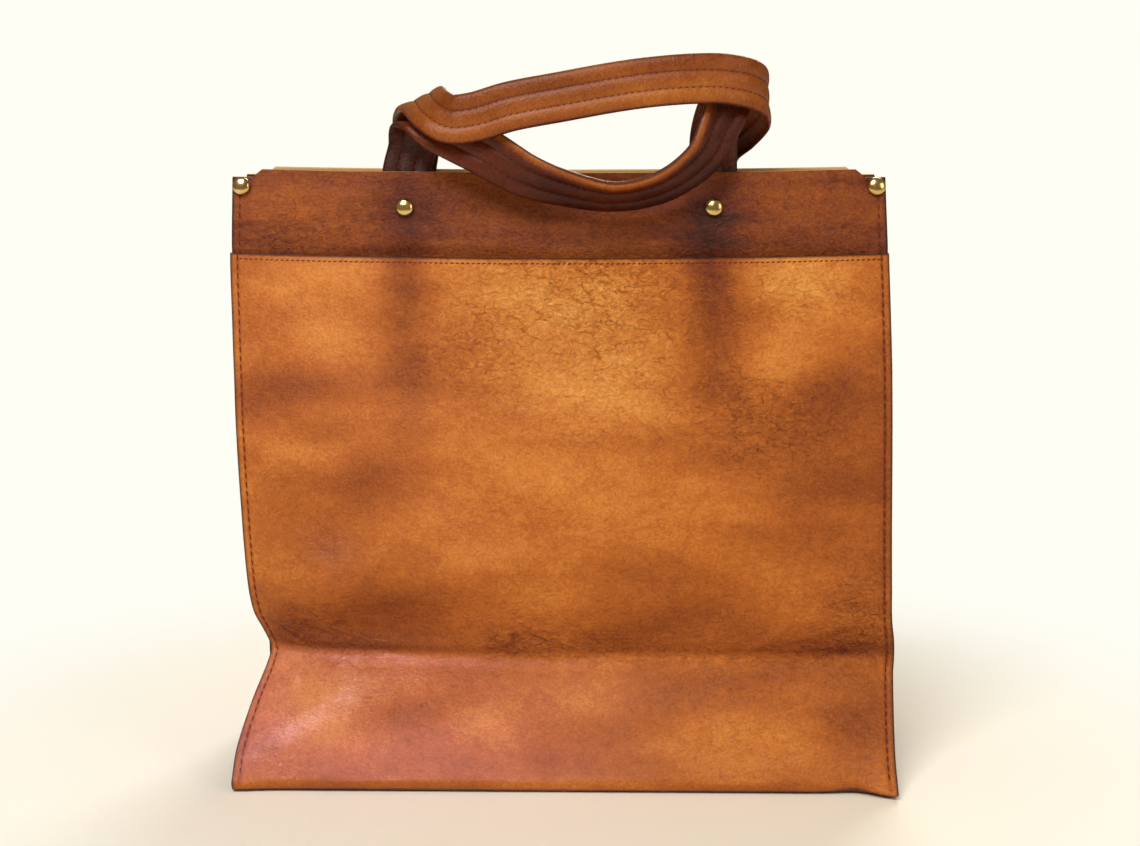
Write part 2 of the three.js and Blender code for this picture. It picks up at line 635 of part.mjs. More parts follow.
// Materials and assembly
const bodyLeather = new THREE.MeshStandardMaterial({ color: 0xb9702f, roughness: 0.5, metalness: 0 });
const innerLeather = new THREE.MeshStandardMaterial({ color: 0x8a4a1f, roughness: 0.6, metalness: 0 });
const strapLeather = new THREE.MeshStandardMaterial({ color: 0x9a5a28, roughness: 0.5, metalness: 0 });
const brass = new THREE.MeshStandardMaterial({ color: 0xcdb26a, roughness: 0.3, metalness: 1 });

const bag = new THREE.Group();

function add(name, geometry, material) {
  const mesh = new THREE.Mesh(geometry, material);
  mesh.name = name;
  bag.add(mesh);
  return mesh;
}

add("body_panel", cut(bodyPanel(), holesFor((place) => place.face === backFace)), bodyLeather);
add("front_panel", cut(frontPanel(), holesFor((place) => place.face === panelFace)), bodyLeather);
for (const side of [-1, 1]) {
  const sideName = side < 0 ? "left" : "right";
  const holes = holesFor((place) => place.name.startsWith("corner") && place.across * side > 0);
  add(`gusset_${sideName}`, cut(gusset(side), holes), innerLeather);
}
const straps = [
  { name: "handle_front", face: panelFace, rows: frontHandleRows },
  { name: "handle_back", face: backFace, rows: backHandleRows },
];
for (const strap of straps) {
  const holes = holesFor((place) => place.name.startsWith("handle") && place.face === strap.face);
  add(strap.name, cut(handle(strap.face, strap.rows), holes), strapLeather);
}
for (const place of rivetPlaces) {
  seatOn(add(place.name, indexed(rivetGeometry(place.grip)), brass), place, capGap);
}

// The origin is below the middle of the whole bag
const centre = new THREE.Box3().setFromObject(bag).getCenter(new THREE.Vector3());
bag.position.set(-centre.x, -centre.y, 0);
bag.updateMatrixWorld(true);

export default bag;
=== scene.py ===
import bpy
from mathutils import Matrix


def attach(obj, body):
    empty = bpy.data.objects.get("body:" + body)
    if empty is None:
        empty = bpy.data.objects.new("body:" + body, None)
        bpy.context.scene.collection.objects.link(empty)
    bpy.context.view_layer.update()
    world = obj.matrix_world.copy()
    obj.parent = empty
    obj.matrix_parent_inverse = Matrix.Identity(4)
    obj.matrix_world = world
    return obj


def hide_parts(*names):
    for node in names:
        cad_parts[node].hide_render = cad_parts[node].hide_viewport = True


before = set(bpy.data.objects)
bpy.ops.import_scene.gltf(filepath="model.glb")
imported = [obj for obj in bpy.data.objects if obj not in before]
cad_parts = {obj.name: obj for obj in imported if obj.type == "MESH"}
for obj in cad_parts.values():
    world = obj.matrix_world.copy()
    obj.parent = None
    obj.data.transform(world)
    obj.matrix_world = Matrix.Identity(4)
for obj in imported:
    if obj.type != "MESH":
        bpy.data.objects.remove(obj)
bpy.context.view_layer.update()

import math

import bpy
import numpy as np
from mathutils import Matrix, Vector

# Body panel. One strip of cognac cowhide 2 mm thick: it hangs as the wide front pocket, turns under
# the bag as its base and climbs again as the back. Its raw edges are cut, dyed and left outside the
# seams. Lengths here are millimetres; levels are 0 at the base fold, 1 at the crease, 2 at the top.
BAG_HEIGHT, PANEL_WIDTH, BASE_DEPTH, FOLD_RADIUS, TOP_SAG = 340.0, 356.0, 140.0, 7.0, 2.0
CORNER_TAB, CORNER_CHAMFER, CORNER_DROP = 11.0, 5.0, 4.5
POCKET_DROP, POCKET_SAG, POCKET_SLACK = 46.0, 2.4, 13.5
PANEL_LEATHER, GUSSET_LEATHER, SEAM_GAP = 2.0, 1.6, 0.6
HALF, DEEP, CREASE = PANEL_WIDTH / 2, BASE_DEPTH / 2, BASE_DEPTH / 2
SEAM_INSET, GROOVE_DEPTH, GROOVE_SHADE = 4.0, 0.45, 0.16
# From the middle of the base, from which everything is measured, to the shared frame's origin
BAG_SHIFT = np.array([-2.888, 2.794, 0.0])

# Level; depth at the middle, left and right in shares of DEEP; left and right edge in shares of HALF
FRONT_SECTIONS = np.array([
    (0.000, 1.000, 1.000, 1.000, 1.009, 1.036),
    (0.240, 0.875, 0.860, 0.880, 1.003, 1.034),
    (0.600, 0.735, 0.630, 0.730, 0.968, 1.036),
    (0.890, 0.625, 0.380, 0.600, 0.932, 1.040),
    (1.000, 0.582, 0.310, 0.540, 0.927, 1.046),
    (1.035, 0.612, 0.335, 0.565, 0.945, 1.043),
    (1.080, 0.650, 0.400, 0.600, 0.972, 1.034),
    (1.150, 0.690, 0.470, 0.620, 0.985, 1.030),
    (1.320, 0.712, 0.540, 0.630, 0.994, 1.023),
    (1.480, 0.685, 0.550, 0.610, 1.002, 1.019),
    (1.640, 0.638, 0.520, 0.570, 1.007, 1.014),
    (1.830, 0.566, 0.470, 0.480, 1.012, 1.004),
    (2.000, 0.380, 0.360, 0.360, 1.010, 0.994),
])
BACK_SECTIONS = np.array([
    (0.000, 1.000, 1.000, 1.000, 1.009, 1.036),
    (0.500, 0.800, 0.765, 0.785, 1.000, 1.034),
    (1.000, 0.605, 0.500, 0.550, 0.986, 1.036),
    (1.060, 0.655, 0.540, 0.585, 0.990, 1.032),
    (1.200, 0.705, 0.580, 0.610, 0.996, 1.027),
    (1.450, 0.680, 0.570, 0.600, 1.002, 1.019),
    (1.750, 0.520, 0.460, 0.480, 1.010, 1.008),
    (2.000, 0.350, 0.335, 0.335, 1.010, 0.994),
])
# Soft dents: across, level, wide, tall, deep (share of DEEP), lean
FRONT_DENTS = [
    (-0.46, 1.660, 0.085, 0.150, 0.050, 0.00), (0.47, 1.650, 0.080, 0.170, 0.055, 0.00),
    (-0.55, 1.070, 0.260, 0.060, 0.060, 0.00), (0.38, 1.085, 0.240, 0.060, 0.045, 0.05),
    (-0.10, 1.210, 0.340, 0.045, -0.035, 0.03), (-0.76, 1.260, 0.110, 0.070, 0.045, 0.00),
    (0.00, 1.500, 0.200, 0.140, -0.030, 0.00), (0.92, 1.045, 0.060, 0.040, 0.045, 0.00),
    (-0.40, 0.450, 0.220, 0.200, 0.035, 0.10), (0.45, 0.500, 0.260, 0.180, -0.025, -0.10),
]
BACK_DENTS = [
    (-0.47, 1.640, 0.090, 0.170, 0.045, 0.00), (0.46, 1.660, 0.090, 0.160, 0.045, 0.00),
    (0.30, 1.080, 0.300, 0.060, 0.050, 0.04), (-0.45, 1.300, 0.250, 0.100, 0.040, 0.05),
    (0.10, 0.480, 0.300, 0.200, 0.030, 0.00),
]
# How slack the pocket hangs off the panel behind it: level, share of the slack
SLACK_SECTIONS = np.array([
    (0.00, 0.00), (0.70, 0.12), (1.00, 0.22), (1.15, 0.84), (1.32, 1.00), (1.48, 0.92), (1.64, 0.72),
    (1.83, 0.46), (2.00, 0.00),
])
# Fine creases of the front: across, level, half length, half width, depth in mm, lean in degrees
FRONT_CREASES = [
    (-0.80, 1.000, 0.16, 0.0100, 1.00, 0), (-0.52, 0.997, 0.20, 0.0110, 1.10, 1),
    (-0.22, 1.002, 0.16, 0.0110, 0.90, -2), (0.06, 0.992, 0.14, 0.0100, 0.70, 2),
    (0.36, 0.995, 0.20, 0.0120, 0.60, -1), (0.72, 1.006, 0.22, 0.0110, 0.90, 2),
    (-0.16, 1.022, 0.09, 0.0090, 0.80, 26), (-0.06, 1.035, 0.08, 0.0080, 0.60, -24),
    (0.86, 1.060, 0.08, 0.0090, 0.80, 38), (0.93, 1.085, 0.07, 0.0080, 0.80, 58),
    (0.80, 1.040, 0.07, 0.0080, 0.60, 22), (0.70, 1.030, 0.08, 0.0080, 0.50, 12),
    (-0.90, 1.030, 0.07, 0.0090, 0.90, -40), (-0.82, 1.050, 0.08, 0.0090, 0.60, -28),
    (-0.86, 0.950, 0.08, 0.0110, 0.70, 34), (-0.70, 0.940, 0.10, 0.0110, 0.50, 20),
    (0.90, 0.930, 0.08, 0.0110, 0.60, -34), (0.10, 0.955, 0.12, 0.0120, 0.40, -12),
    (0.08, 1.630, 0.10, 0.0110, 0.50, -42), (0.15, 1.550, 0.08, 0.0110, 0.50, -58),
    (-0.20, 1.640, 0.09, 0.0110, 0.35, 35), (0.58, 1.460, 0.12, 0.0110, 0.45, 2),
    (-0.22, 1.762, 0.14, 0.0110, 0.40, 3), (0.08, 1.770, 0.16, 0.0110, 0.45, -4),
    (0.26, 1.700, 0.10, 0.0110, 0.35, -12), (0.62, 1.560, 0.12, 0.0110, 0.35, 8),
    (-0.62, 1.530, 0.16, 0.0110, 0.30, -6), (-0.05, 1.500, 0.10, 0.0110, 0.25, 60),
]


def smooth_column(table, column, at):
    """Value of a table's column at places between its rows, on a smooth curve through them."""
    keys, values = table[:, 0], table[:, column]
    i = np.clip(np.searchsorted(keys, at, side="left") - 1, 0, len(keys) - 2)
    span = keys[i + 1] - keys[i]
    t = np.clip((at - keys[i]) / span, 0, 1)
    before, after = np.maximum(i - 1, 0), np.minimum(i + 2, len(keys) - 1)
    slope_a = (values[i + 1] - values[before]) / (keys[i + 1] - keys[before])
    slope_b = (values[after] - values[i]) / (keys[after] - keys[i])
    t2, t3 = t * t, t * t * t
    return ((2 * t3 - 3 * t2 + 1) * values[i] + (t3 - 2 * t2 + t) * slope_a * span
            + (3 * t2 - 2 * t3) * values[i + 1] + (t3 - t2) * slope_b * span)


def height_of(level):
    """Height in mm of a level."""
    return np.where(level > 1, CREASE + (level - 1) * (BAG_HEIGHT - CREASE),
                    FOLD_RADIUS + level * (CREASE - FOLD_RADIUS))


def level_of(height):
    """Level of a height in mm."""
    height = np.asarray(height, float)
    return np.where(height > CREASE, 1 + (height - CREASE) / (BAG_HEIGHT - CREASE),
                    (height - FOLD_RADIUS) / (CREASE - FOLD_RADIUS))


def soft_noise(x, y, seed):
    """Smooth random hills over the plane, about one to a unit, between -1 and 1."""
    lattice = np.random.default_rng(seed).uniform(-1, 1, (64, 64))
    i, j = np.floor(x).astype(int), np.floor(y).astype(int)
    u, v = x - i, y - j
    u, v = u * u * (3 - 2 * u), v * v * (3 - 2 * v)
    at = lambda a, b: lattice[(i + a) % 64, (j + b) % 64]
    return ((at(0, 0) * (1 - u) + at(1, 0) * u) * (1 - v) + (at(0, 1) * (1 - u) + at(1, 1) * u) * v)


def wall_point(facing, across, level, fine=True):
    """Outer face of the front (facing -1) or back (facing 1), in mm, from raw edge -1 to raw edge 1."""
    across, level = np.broadcast_arrays(np.asarray(across, float), np.asarray(level, float))
    sections, dents = (FRONT_SECTIONS, FRONT_DENTS) if facing < 0 else (BACK_SECTIONS, BACK_DENTS)
    on_wall = np.maximum(level, 0)
    left = across < 0
    edge = np.where(left, smooth_column(sections, 4, on_wall), smooth_column(sections, 5, on_wall))
    side = np.where(left, smooth_column(sections, 2, on_wall), smooth_column(sections, 3, on_wall))
    middle = smooth_column(sections, 1, on_wall)
    depth = (side + (middle - side) * (1 - across ** 4)) * DEEP
    dent = np.zeros_like(depth)
    for a, l, wide, tall, deep, lean in dents:
        dx = (across - a) / wide
        dz = (level - l - lean * dx) / tall
        dent += deep * np.exp(-dx * dx - dz * dz)
    depth -= np.where(level >= 0, dent * DEEP * (1 - across ** 8), 0)
    height = height_of(on_wall)
    if fine:
        # Undulations of the hide, long, middle and short, which die out at the base fold and the top
        calm = np.clip(level / 0.2, 0, 1) * np.clip((2.0 - level) / 0.1, 0, 1)
        seed = 3 if facing < 0 else 8
        x, z = across * HALF, height
        depth += calm * (1.1 * soft_noise(x / 62 + z / 190, z / 46 - x / 260, seed)
                         + 0.45 * soft_noise(x / 24 + 3, z / 21 + x / 70, seed + 1)
                         + 0.16 * soft_noise(x / 9, z / 8, seed + 2))
        if facing < 0:
            # Each crease is a groove with a low lip on both sides, and wavers a little
            for a, l, long, wide, deep, lean in FRONT_CREASES:
                turn = math.radians(lean)
                dx = (across - a) * HALF
                dz = (level - l) * np.where(level > 1, BAG_HEIGHT - CREASE, CREASE - FOLD_RADIUS)
                run = dx * math.cos(turn) + dz * math.sin(turn)
                off = -dx * math.sin(turn) + dz * math.cos(turn)
                off = off + 1.6 * soft_noise(run / 14 + 10 * a, run * 0, 5)
                groove = np.exp(-(off / (wide * 190)) ** 2)
                lip = 0.45 * np.exp(-((np.abs(off) - wide * 480) / (wide * 300)) ** 2)
                fade = np.exp(-(run / (long * HALF)) ** 4)
                depth -= deep * fade * (groove - lip)
    # Below level 0 the sheet turns in a quarter circle, and below -1 it runs flat to the middle line
    turn = np.clip(-level, 0, 1) * math.pi / 2
    folded = level < 0
    depth = np.where(folded, depth - FOLD_RADIUS * (1 - np.cos(turn)), depth)
    height = np.where(folded, FOLD_RADIUS * (1 - np.sin(turn)), height)
    depth = np.where(level < -1, depth * (level + 2), depth)
    # The corners splay at the fold, and the front's right one stands on a raised hump
    near_fold = np.exp(-((level + 0.35) / 0.45) ** 2)
    s = np.clip((np.abs(across) - 0.86) / 0.14, 0, 1)
    corner = s * s * (3 - 2 * s)
    splay = np.where(left, 0.03, 0.13) if facing < 0 else np.full_like(depth, 0.05)
    depth = depth + splay * DEEP * corner * near_fold
    if facing < 0:
        hump = np.exp(-((np.abs(across) - 0.88) / 0.06) ** 2)
        height = height + np.where((across > 0) & (level > -1), 0.035 * DEEP * hump * near_fold, 0)
    return np.stack([across * HALF * edge, facing * depth, height], axis=-1)


def face_normals(points, outward):
    """Unit normals of a grid of points, on the side that a vector, or one for each row, points to."""
    normals = np.cross(np.gradient(points, axis=1), np.gradient(points, axis=0))
    normals /= np.maximum(np.linalg.norm(normals, axis=-1, keepdims=True), 1e-9)
    return normals * (1 if np.sum(normals * outward) > 0 else -1)


def mesh_piece(name, points, faces):
    """A smooth-shaded object in the scene, from points in mm."""
    mesh = bpy.data.meshes.new(name)
    mesh.from_pydata((points / 1000).tolist(), [], faces)
    mesh.polygons.foreach_set("use_smooth", [True] * len(mesh.polygons))
    piece = bpy.data.objects.new(name, mesh)
    bpy.context.scene.collection.objects.link(piece)
    return piece


def leather_sheet(name, outer, inner, tone, wrinkle=0.0, raw=1.0, polish=0.0, flesh=1.0, bulge=0.3):
    """A closed sheet between two grids of points, whose raw edge bulges by some mm. Its attributes are
    tone, wrinkle and polish of the grain side, flesh for the inner side and raw for the cut edge."""
    rows, columns = outer.shape[:2]
    count = rows * columns
    index = np.arange(count).reshape(rows, columns)
    ring = np.concatenate([index[0, :], index[1:, -1], index[-1, -2::-1], index[-2:0:-1, 0]])
    inward = np.concatenate([index[1, :], index[1:, -2], index[-2, -2::-1], index[-2:0:-1, 1]])
    flat_outer, flat_inner = outer.reshape(-1, 3), inner.reshape(-1, 3)
    away = flat_outer[ring] - flat_outer[inward]
    away /= np.maximum(np.linalg.norm(away, axis=1, keepdims=True), 1e-9)
    middle = (flat_outer[ring] + flat_inner[ring]) / 2 + away * bulge
    points = np.concatenate([flat_outer, flat_inner, middle]) + BAG_SHIFT
    a, b, c, d = index[:-1, :-1], index[1:, :-1], index[1:, 1:], index[:-1, 1:]
    quads = np.stack([a, b, c, d], axis=-1).reshape(-1, 4)
    turned = np.stack([a, d, c, b], axis=-1).reshape(-1, 4) + count
    after = np.roll(ring, -1)
    mid = np.arange(len(ring)) + 2 * count
    mid_after = np.roll(mid, -1)
    rim = np.concatenate([np.stack([ring, after, mid_after, mid], axis=1),
                          np.stack([mid, mid_after, after + count, ring + count], axis=1)])
    faces = np.concatenate([quads, turned, rim])
    p = points[faces]
    volume = np.sum(p[:, 0] * np.cross(p[:, 1], p[:, 2])) + np.sum(p[:, 0] * np.cross(p[:, 2], p[:, 3]))
    if volume < 0:
        faces = faces[:, ::-1]
    piece = mesh_piece(name, points, faces.tolist())
    tone, wrinkle, raw, polish = (np.broadcast_to(value, (rows, columns)).reshape(-1)
                                  for value in (tone, wrinkle, raw, polish))
    paint = {
        "tone": np.concatenate([tone, tone, tone[ring]]),
        "wrinkle": np.concatenate([wrinkle, wrinkle * 0, wrinkle[ring] * 0]),
        "polish": np.concatenate([polish, polish * 0, polish[ring] * 0]),
        "flesh": np.concatenate([np.zeros(count), np.full(count + len(ring), flesh)]),
        "raw": np.concatenate([np.zeros(2 * count), raw[ring]]),
    }
    # The edge's dye has run on to both sides, and is widened so that it also paints the shade along the
    # edges: shares at the edge, and one and two columns inwards
    paint["raw"][ring] = 0.9 * raw[ring]
    paint["raw"][inward] = 0.75 * raw[ring]
    paint["raw"][index[2:-2, 2]] = 0.25 * raw[index[2:-2, 0]]
    paint["raw"][index[2:-2, -3]] = 0.25 * raw[index[2:-2, -1]]
    paint["raw"][ring + count] = 0.9 * raw[ring]
    for key, values in paint.items():
        attribute = piece.data.attributes.new(key, "FLOAT", "POINT")
        attribute.data.foreach_set("value", values.astype(np.float32))
    piece.data.update()
    return piece


def steps(*parts):
    """A run of places from parts (start, end, count), each without its end, and then the last end."""
    run = [np.linspace(a, b, n, endpoint=False) for a, b, n in parts]
    return np.concatenate([*run, [parts[-1][1]]])


# Distance of the columns from a raw edge in mm: close together at the seam, then evenly to the middle
SEAM_COLUMN = 5
from_edge = np.concatenate([[0, 0.5, 1.3, 2.4, 3.4, SEAM_INSET, 4.6, 5.6, 7.0, 9.0, 11.0, 13.5, 16.0],
                            np.linspace(18.5, HALF, 66)])
panel_across = np.concatenate([-(1 - from_edge / HALF), (1 - from_edge[:-1] / HALF)[::-1]])


def sag_line(across, sag):
    """How far a free edge hangs down in mm, most at its middle."""
    return sag * (1 - across ** 2)


def top_drop(across):
    """How far the top edge lies below the bag's height: a little sag, and a lower tab at each corner."""
    chamfer = np.clip((CORNER_TAB + CORNER_CHAMFER - (1 - np.abs(across)) * HALF) / CORNER_CHAMFER, 0, 1)
    return np.where(chamfer > 0, chamfer * CORNER_DROP, sag_line(across, TOP_SAG))


def seam_dip(across, spread):
    """Groove that the stitches pull into the leather along a raw edge: share of its depth."""
    return np.exp(-((1 - np.abs(across)) * HALF - SEAM_INSET) ** 2 / spread)


def pocket_gap(across, level):
    """How far the pocket hangs off the panel behind it, in mm."""
    return POCKET_SLACK * smooth_column(SLACK_SECTIONS, 1, np.maximum(level, 0)) * (1 - across ** 6)


# Rows of the strip: mm below the pocket's mouth, then levels down the base section, round and up the
# back, then mm below the top. The mouth's own line fades out over MOUTH_FADE mm, the top's over TOP_FADE.
MOUTH_FADE, TOP_FADE = 222.0, 8.0
mouth_rows = np.array([0, 0.5, 1.3, 2.1, 2.9, 3.8, 5.2, 7.2])
pocket_rows = steps((10, 200, 80), (200, 221, 16))
base_rows = steps((0.985, 0.80, 12), (0.80, 0.0, 24), (0.0, -1.0, 9), (-1.0, -2.0, 9))
back_rows = steps((-1.9, -1.0, 8), (-1.0, 0.0, 8), (0.0, 0.9, 16), (0.9, 1.1, 14), (1.1, 1.93, 44))
back_top_rows = np.array([18, 13, 9, 6, 4, 2.6, 1.5, 0.6, 0])

grid_rows = []
for below in np.concatenate([mouth_rows, pocket_rows]):
    share = 1 - below / MOUTH_FADE
    mouth = BAG_HEIGHT - POCKET_DROP - sag_line(panel_across, POCKET_SAG) * share
    grid_rows.append((-1, level_of(mouth - below)))
for level in base_rows:
    grid_rows.append((-1, np.full_like(panel_across, level)))
for level in back_rows:
    grid_rows.append((1, np.full_like(panel_across, level)))
for below in back_top_rows:
    drop = top_drop(panel_across) * math.exp(-below / TOP_FADE)
    grid_rows.append((1, level_of(BAG_HEIGHT - drop - below)))
skin_points = np.stack([wall_point(facing, panel_across, level) for facing, level in grid_rows])
skin_facing = np.array([facing for facing, level in grid_rows])[:, None]
skin_level = np.stack([level for facing, level in grid_rows])
skin_normals = face_normals(skin_points, skin_facing[..., None] * np.array([0, 1, 0]))

# Clouds of the hide on the front, with painted shade in the dents under the handle rivets and right above the
# crease, and painted highlights under the pocket's mouth and on the ridge above the crease: across, level,
# wide, tall, lean, lighter (+) or darker (-)
POCKET_TONE = 0.60
FRONT_CLOUDS_AND_LIGHT = [
    (-0.47, 1.80, 0.070, 0.11, 0.0, -0.24), (-0.46, 1.60, 0.080, 0.14, 0.0, -0.14),
    (0.46, 1.80, 0.080, 0.12, 0.0, -0.34), (0.48, 1.60, 0.085, 0.13, 0.0, -0.18),
    (0.00, 1.68, 0.300, 0.15, 0.0, 0.23), (-0.06, 1.79, 0.300, 0.05, 0.0, 0.08),
    (-0.76, 1.77, 0.200, 0.07, 0.0, 0.16), (0.74, 1.77, 0.160, 0.07, 0.0, 0.28),
    (0.18, 1.52, 0.150, 0.10, 0.03, 0.12), (0.66, 1.60, 0.090, 0.07, 0.0, 0.12),
    (-0.80, 1.57, 0.180, 0.040, 0.01, -0.16), (-0.68, 1.66, 0.200, 0.06, 0.0, 0.10),
    (0.82, 1.55, 0.170, 0.070, 0.0, -0.22), (0.80, 1.34, 0.200, 0.110, 0.02, -0.18),
    (-0.72, 1.23, 0.140, 0.060, 0.0, -0.14), (-0.62, 1.38, 0.200, 0.070, 0.04, -0.14),
    (-0.40, 1.30, 0.140, 0.050, 0.0, 0.08), (-0.80, 1.43, 0.140, 0.040, 0.0, 0.06),
    (0.00, 1.38, 0.300, 0.120, 0.0, 0.08), (-0.08, 1.21, 0.320, 0.035, 0.02, 0.10),
    (0.30, 1.24, 0.200, 0.060, 0.0, 0.02), (-0.50, 1.090, 0.280, 0.050, 0.0, -0.03),
    (-0.84, 1.05, 0.120, 0.050, 0.0, -0.14), (0.36, 1.09, 0.260, 0.050, 0.02, -0.12),
    (0.84, 1.06, 0.160, 0.070, 0.0, -0.03), (0.97, 1.45, 0.040, 0.40, 0.0, -0.10),
    (-0.985, 1.40, 0.020, 0.50, 0.0, 0.10), (-0.06, 1.12, 0.160, 0.070, 0.0, 0.12),
    (-0.75, 0.55, 0.180, 0.350, 0.05, 0.17), (-0.48, 0.55, 0.160, 0.160, 0.10, -0.08),
    (-0.22, 0.45, 0.130, 0.200, 0.10, 0.13), (0.10, 0.66, 0.130, 0.160, 0.10, 0.12),
    (0.16, 0.36, 0.120, 0.160, 0.0, -0.08), (0.38, 0.74, 0.200, 0.140, 0.10, -0.08),
    (0.55, 0.42, 0.200, 0.240, 0.0, 0.05), (0.90, 0.40, 0.100, 0.400, 0.0, -0.14),
    (-0.30, 0.12, 0.500, 0.100, 0.0, -0.05),
]
# Where the grain is broken into fine wrinkles: across, level, wide, tall, lean, share
FRONT_WRINKLES = [
    (0.05, 1.76, 0.34, 0.10, 0.0, 0.55), (0.15, 1.62, 0.24, 0.16, 0.0, 0.35),
    (-0.30, 1.62, 0.20, 0.10, 0.0, 0.30), (0.62, 1.50, 0.18, 0.10, 0.0, 0.45),
    (0.72, 1.76, 0.18, 0.06, 0.0, 0.40), (0.88, 1.08, 0.12, 0.09, 0.0, 0.55),
    (-0.82, 1.03, 0.16, 0.07, 0.0, 0.40), (-0.10, 1.03, 0.20, 0.05, 0.0, 0.50),
    (-0.70, 0.75, 0.20, 0.20, 0.0, 0.25), (0.30, 0.98, 0.60, 0.05, 0.0, 0.20),
]
# Where the wax is rubbed to a gloss: across, level, wide, tall, lean, share
FRONT_POLISH = [
    (-0.82, 0.42, 0.15, 0.10, 0.24, 1.0), (-0.68, 0.955, 0.20, 0.025, 0.0, 1.0),
    (-0.70, 0.70, 0.05, 0.16, 0.0, 0.9), (-0.72, 1.23, 0.10, 0.050, 0.0, 0.6),
    (-0.45, 0.55, 0.10, 0.060, 0.1, 0.4),
]
# Painted shade right above the crease, under the bulge that overhangs it: across, -, wide, -, -, share
CREASE_SHADE_SHARES = [
    (-0.60, 0, 0.32, 1, 0, 1.35), (-0.95, 0, 0.10, 1, 0, 0.5), (0.02, 0, 0.26, 1, 0, 0.55),
    (0.42, 0, 0.28, 1, 0, 0.6), (0.86, 0, 0.16, 1, 0, 0.8),
]


def cloud_tone(clouds, across, level):
    """Sum of the soft blobs of a table at each place."""
    tone = np.zeros(np.broadcast(across, level).shape)
    for a, l, wide, tall, lean, amount in clouds:
        dx = (across - a) / wide
        dz = (level - l - lean * dx) / tall
        tone += amount * np.exp(-dx * dx - dz * dz)
    return tone


def crease_shade(across, level):
    """Painted shade that gathers right above the crease and stops at it: share for each place."""
    strength = cloud_tone(CREASE_SHADE_SHARES, across, 0 * level)
    return strength * np.exp(-np.maximum(level - 1, 0) / 0.075) * np.clip((level - 0.985) / 0.03, 0, 1)


across_grid = np.broadcast_to(panel_across, skin_level.shape)
seam_groove = seam_dip(across_grid, 0.6) * (skin_level > -0.2)
on_front = (skin_facing < 0) & (skin_level > -1)
skin_tone = POCKET_TONE + np.where(on_front, cloud_tone(FRONT_CLOUDS_AND_LIGHT, across_grid, skin_level), -0.04)
skin_tone -= np.where(on_front, 0.30 * crease_shade(across_grid, skin_level), 0)
# The hide's own streaks, then painted shade in the stitched groove, and painted shade on the fold that the
# bag stands on
skin_tone += 0.06 * soft_noise(skin_points[..., 0] / 60 + 7, skin_points[..., 2] / 24 + 2, 21)
skin_tone += 0.05 * soft_noise(skin_points[..., 0] / 26 + 1, skin_points[..., 2] / 13 + 5, 22)
skin_tone -= GROOVE_SHADE * seam_groove
skin_tone -= np.where(skin_facing < 0, 0.5 * np.clip((-skin_level - 0.40) / 0.25, 0, 1), 0)
skin_wrinkle = 0.22 + np.where(on_front, cloud_tone(FRONT_WRINKLES, across_grid, skin_level), 0.0)
skin_polish = np.where(on_front, cloud_tone(FRONT_POLISH, across_grid, skin_level), 0.0)
# The back's top edge is cut but not dyed, so it shows as a pale line
skin_raw = np.ones(skin_level.shape)
skin_raw[-1] = 0.0
skin_outer = skin_points - skin_normals * (GROOVE_DEPTH * seam_groove)[..., None]
body = leather_sheet("pocket_base_and_back", skin_outer, skin_points - skin_normals * PANEL_LEATHER,
                     skin_tone, skin_wrinkle, skin_raw, skin_polish)


def linear(hex_colour):
    """sRGB hex to the linear colour that a shader socket takes."""
    values = [int(hex_colour[i:i + 2], 16) / 255 for i in (1, 3, 5)]
    return [v / 12.92 if v <= 0.04045 else ((v + 0.055) / 1.055) ** 2.4 for v in values] + [1.0]


def add_node(owner, kind, settings=None, links=None):
    """Adds a node to a material or world, sets what is named and links inputs to outputs of other nodes
    (to the first one where only the node is given)."""
    node = owner.node_tree.nodes.new("ShaderNode" + kind)
    for key, value in (settings or {}).items():
        if isinstance(key, str) and hasattr(node, key):
            setattr(node, key, value)
        else:
            node.inputs[key].default_value = value
    for key, source in (links or {}).items():
        owner.node_tree.links.new(getattr(source, "outputs", [source])[0], node.inputs[key])
    return node


def empty_material(name):
    """A material without nodes but the one for the piece's own coordinates, and their output."""
    material = bpy.data.materials.new(name)
    material.use_nodes = True
    material.node_tree.nodes.clear()
    return material, add_node(material, "TexCoord").outputs["Object"]


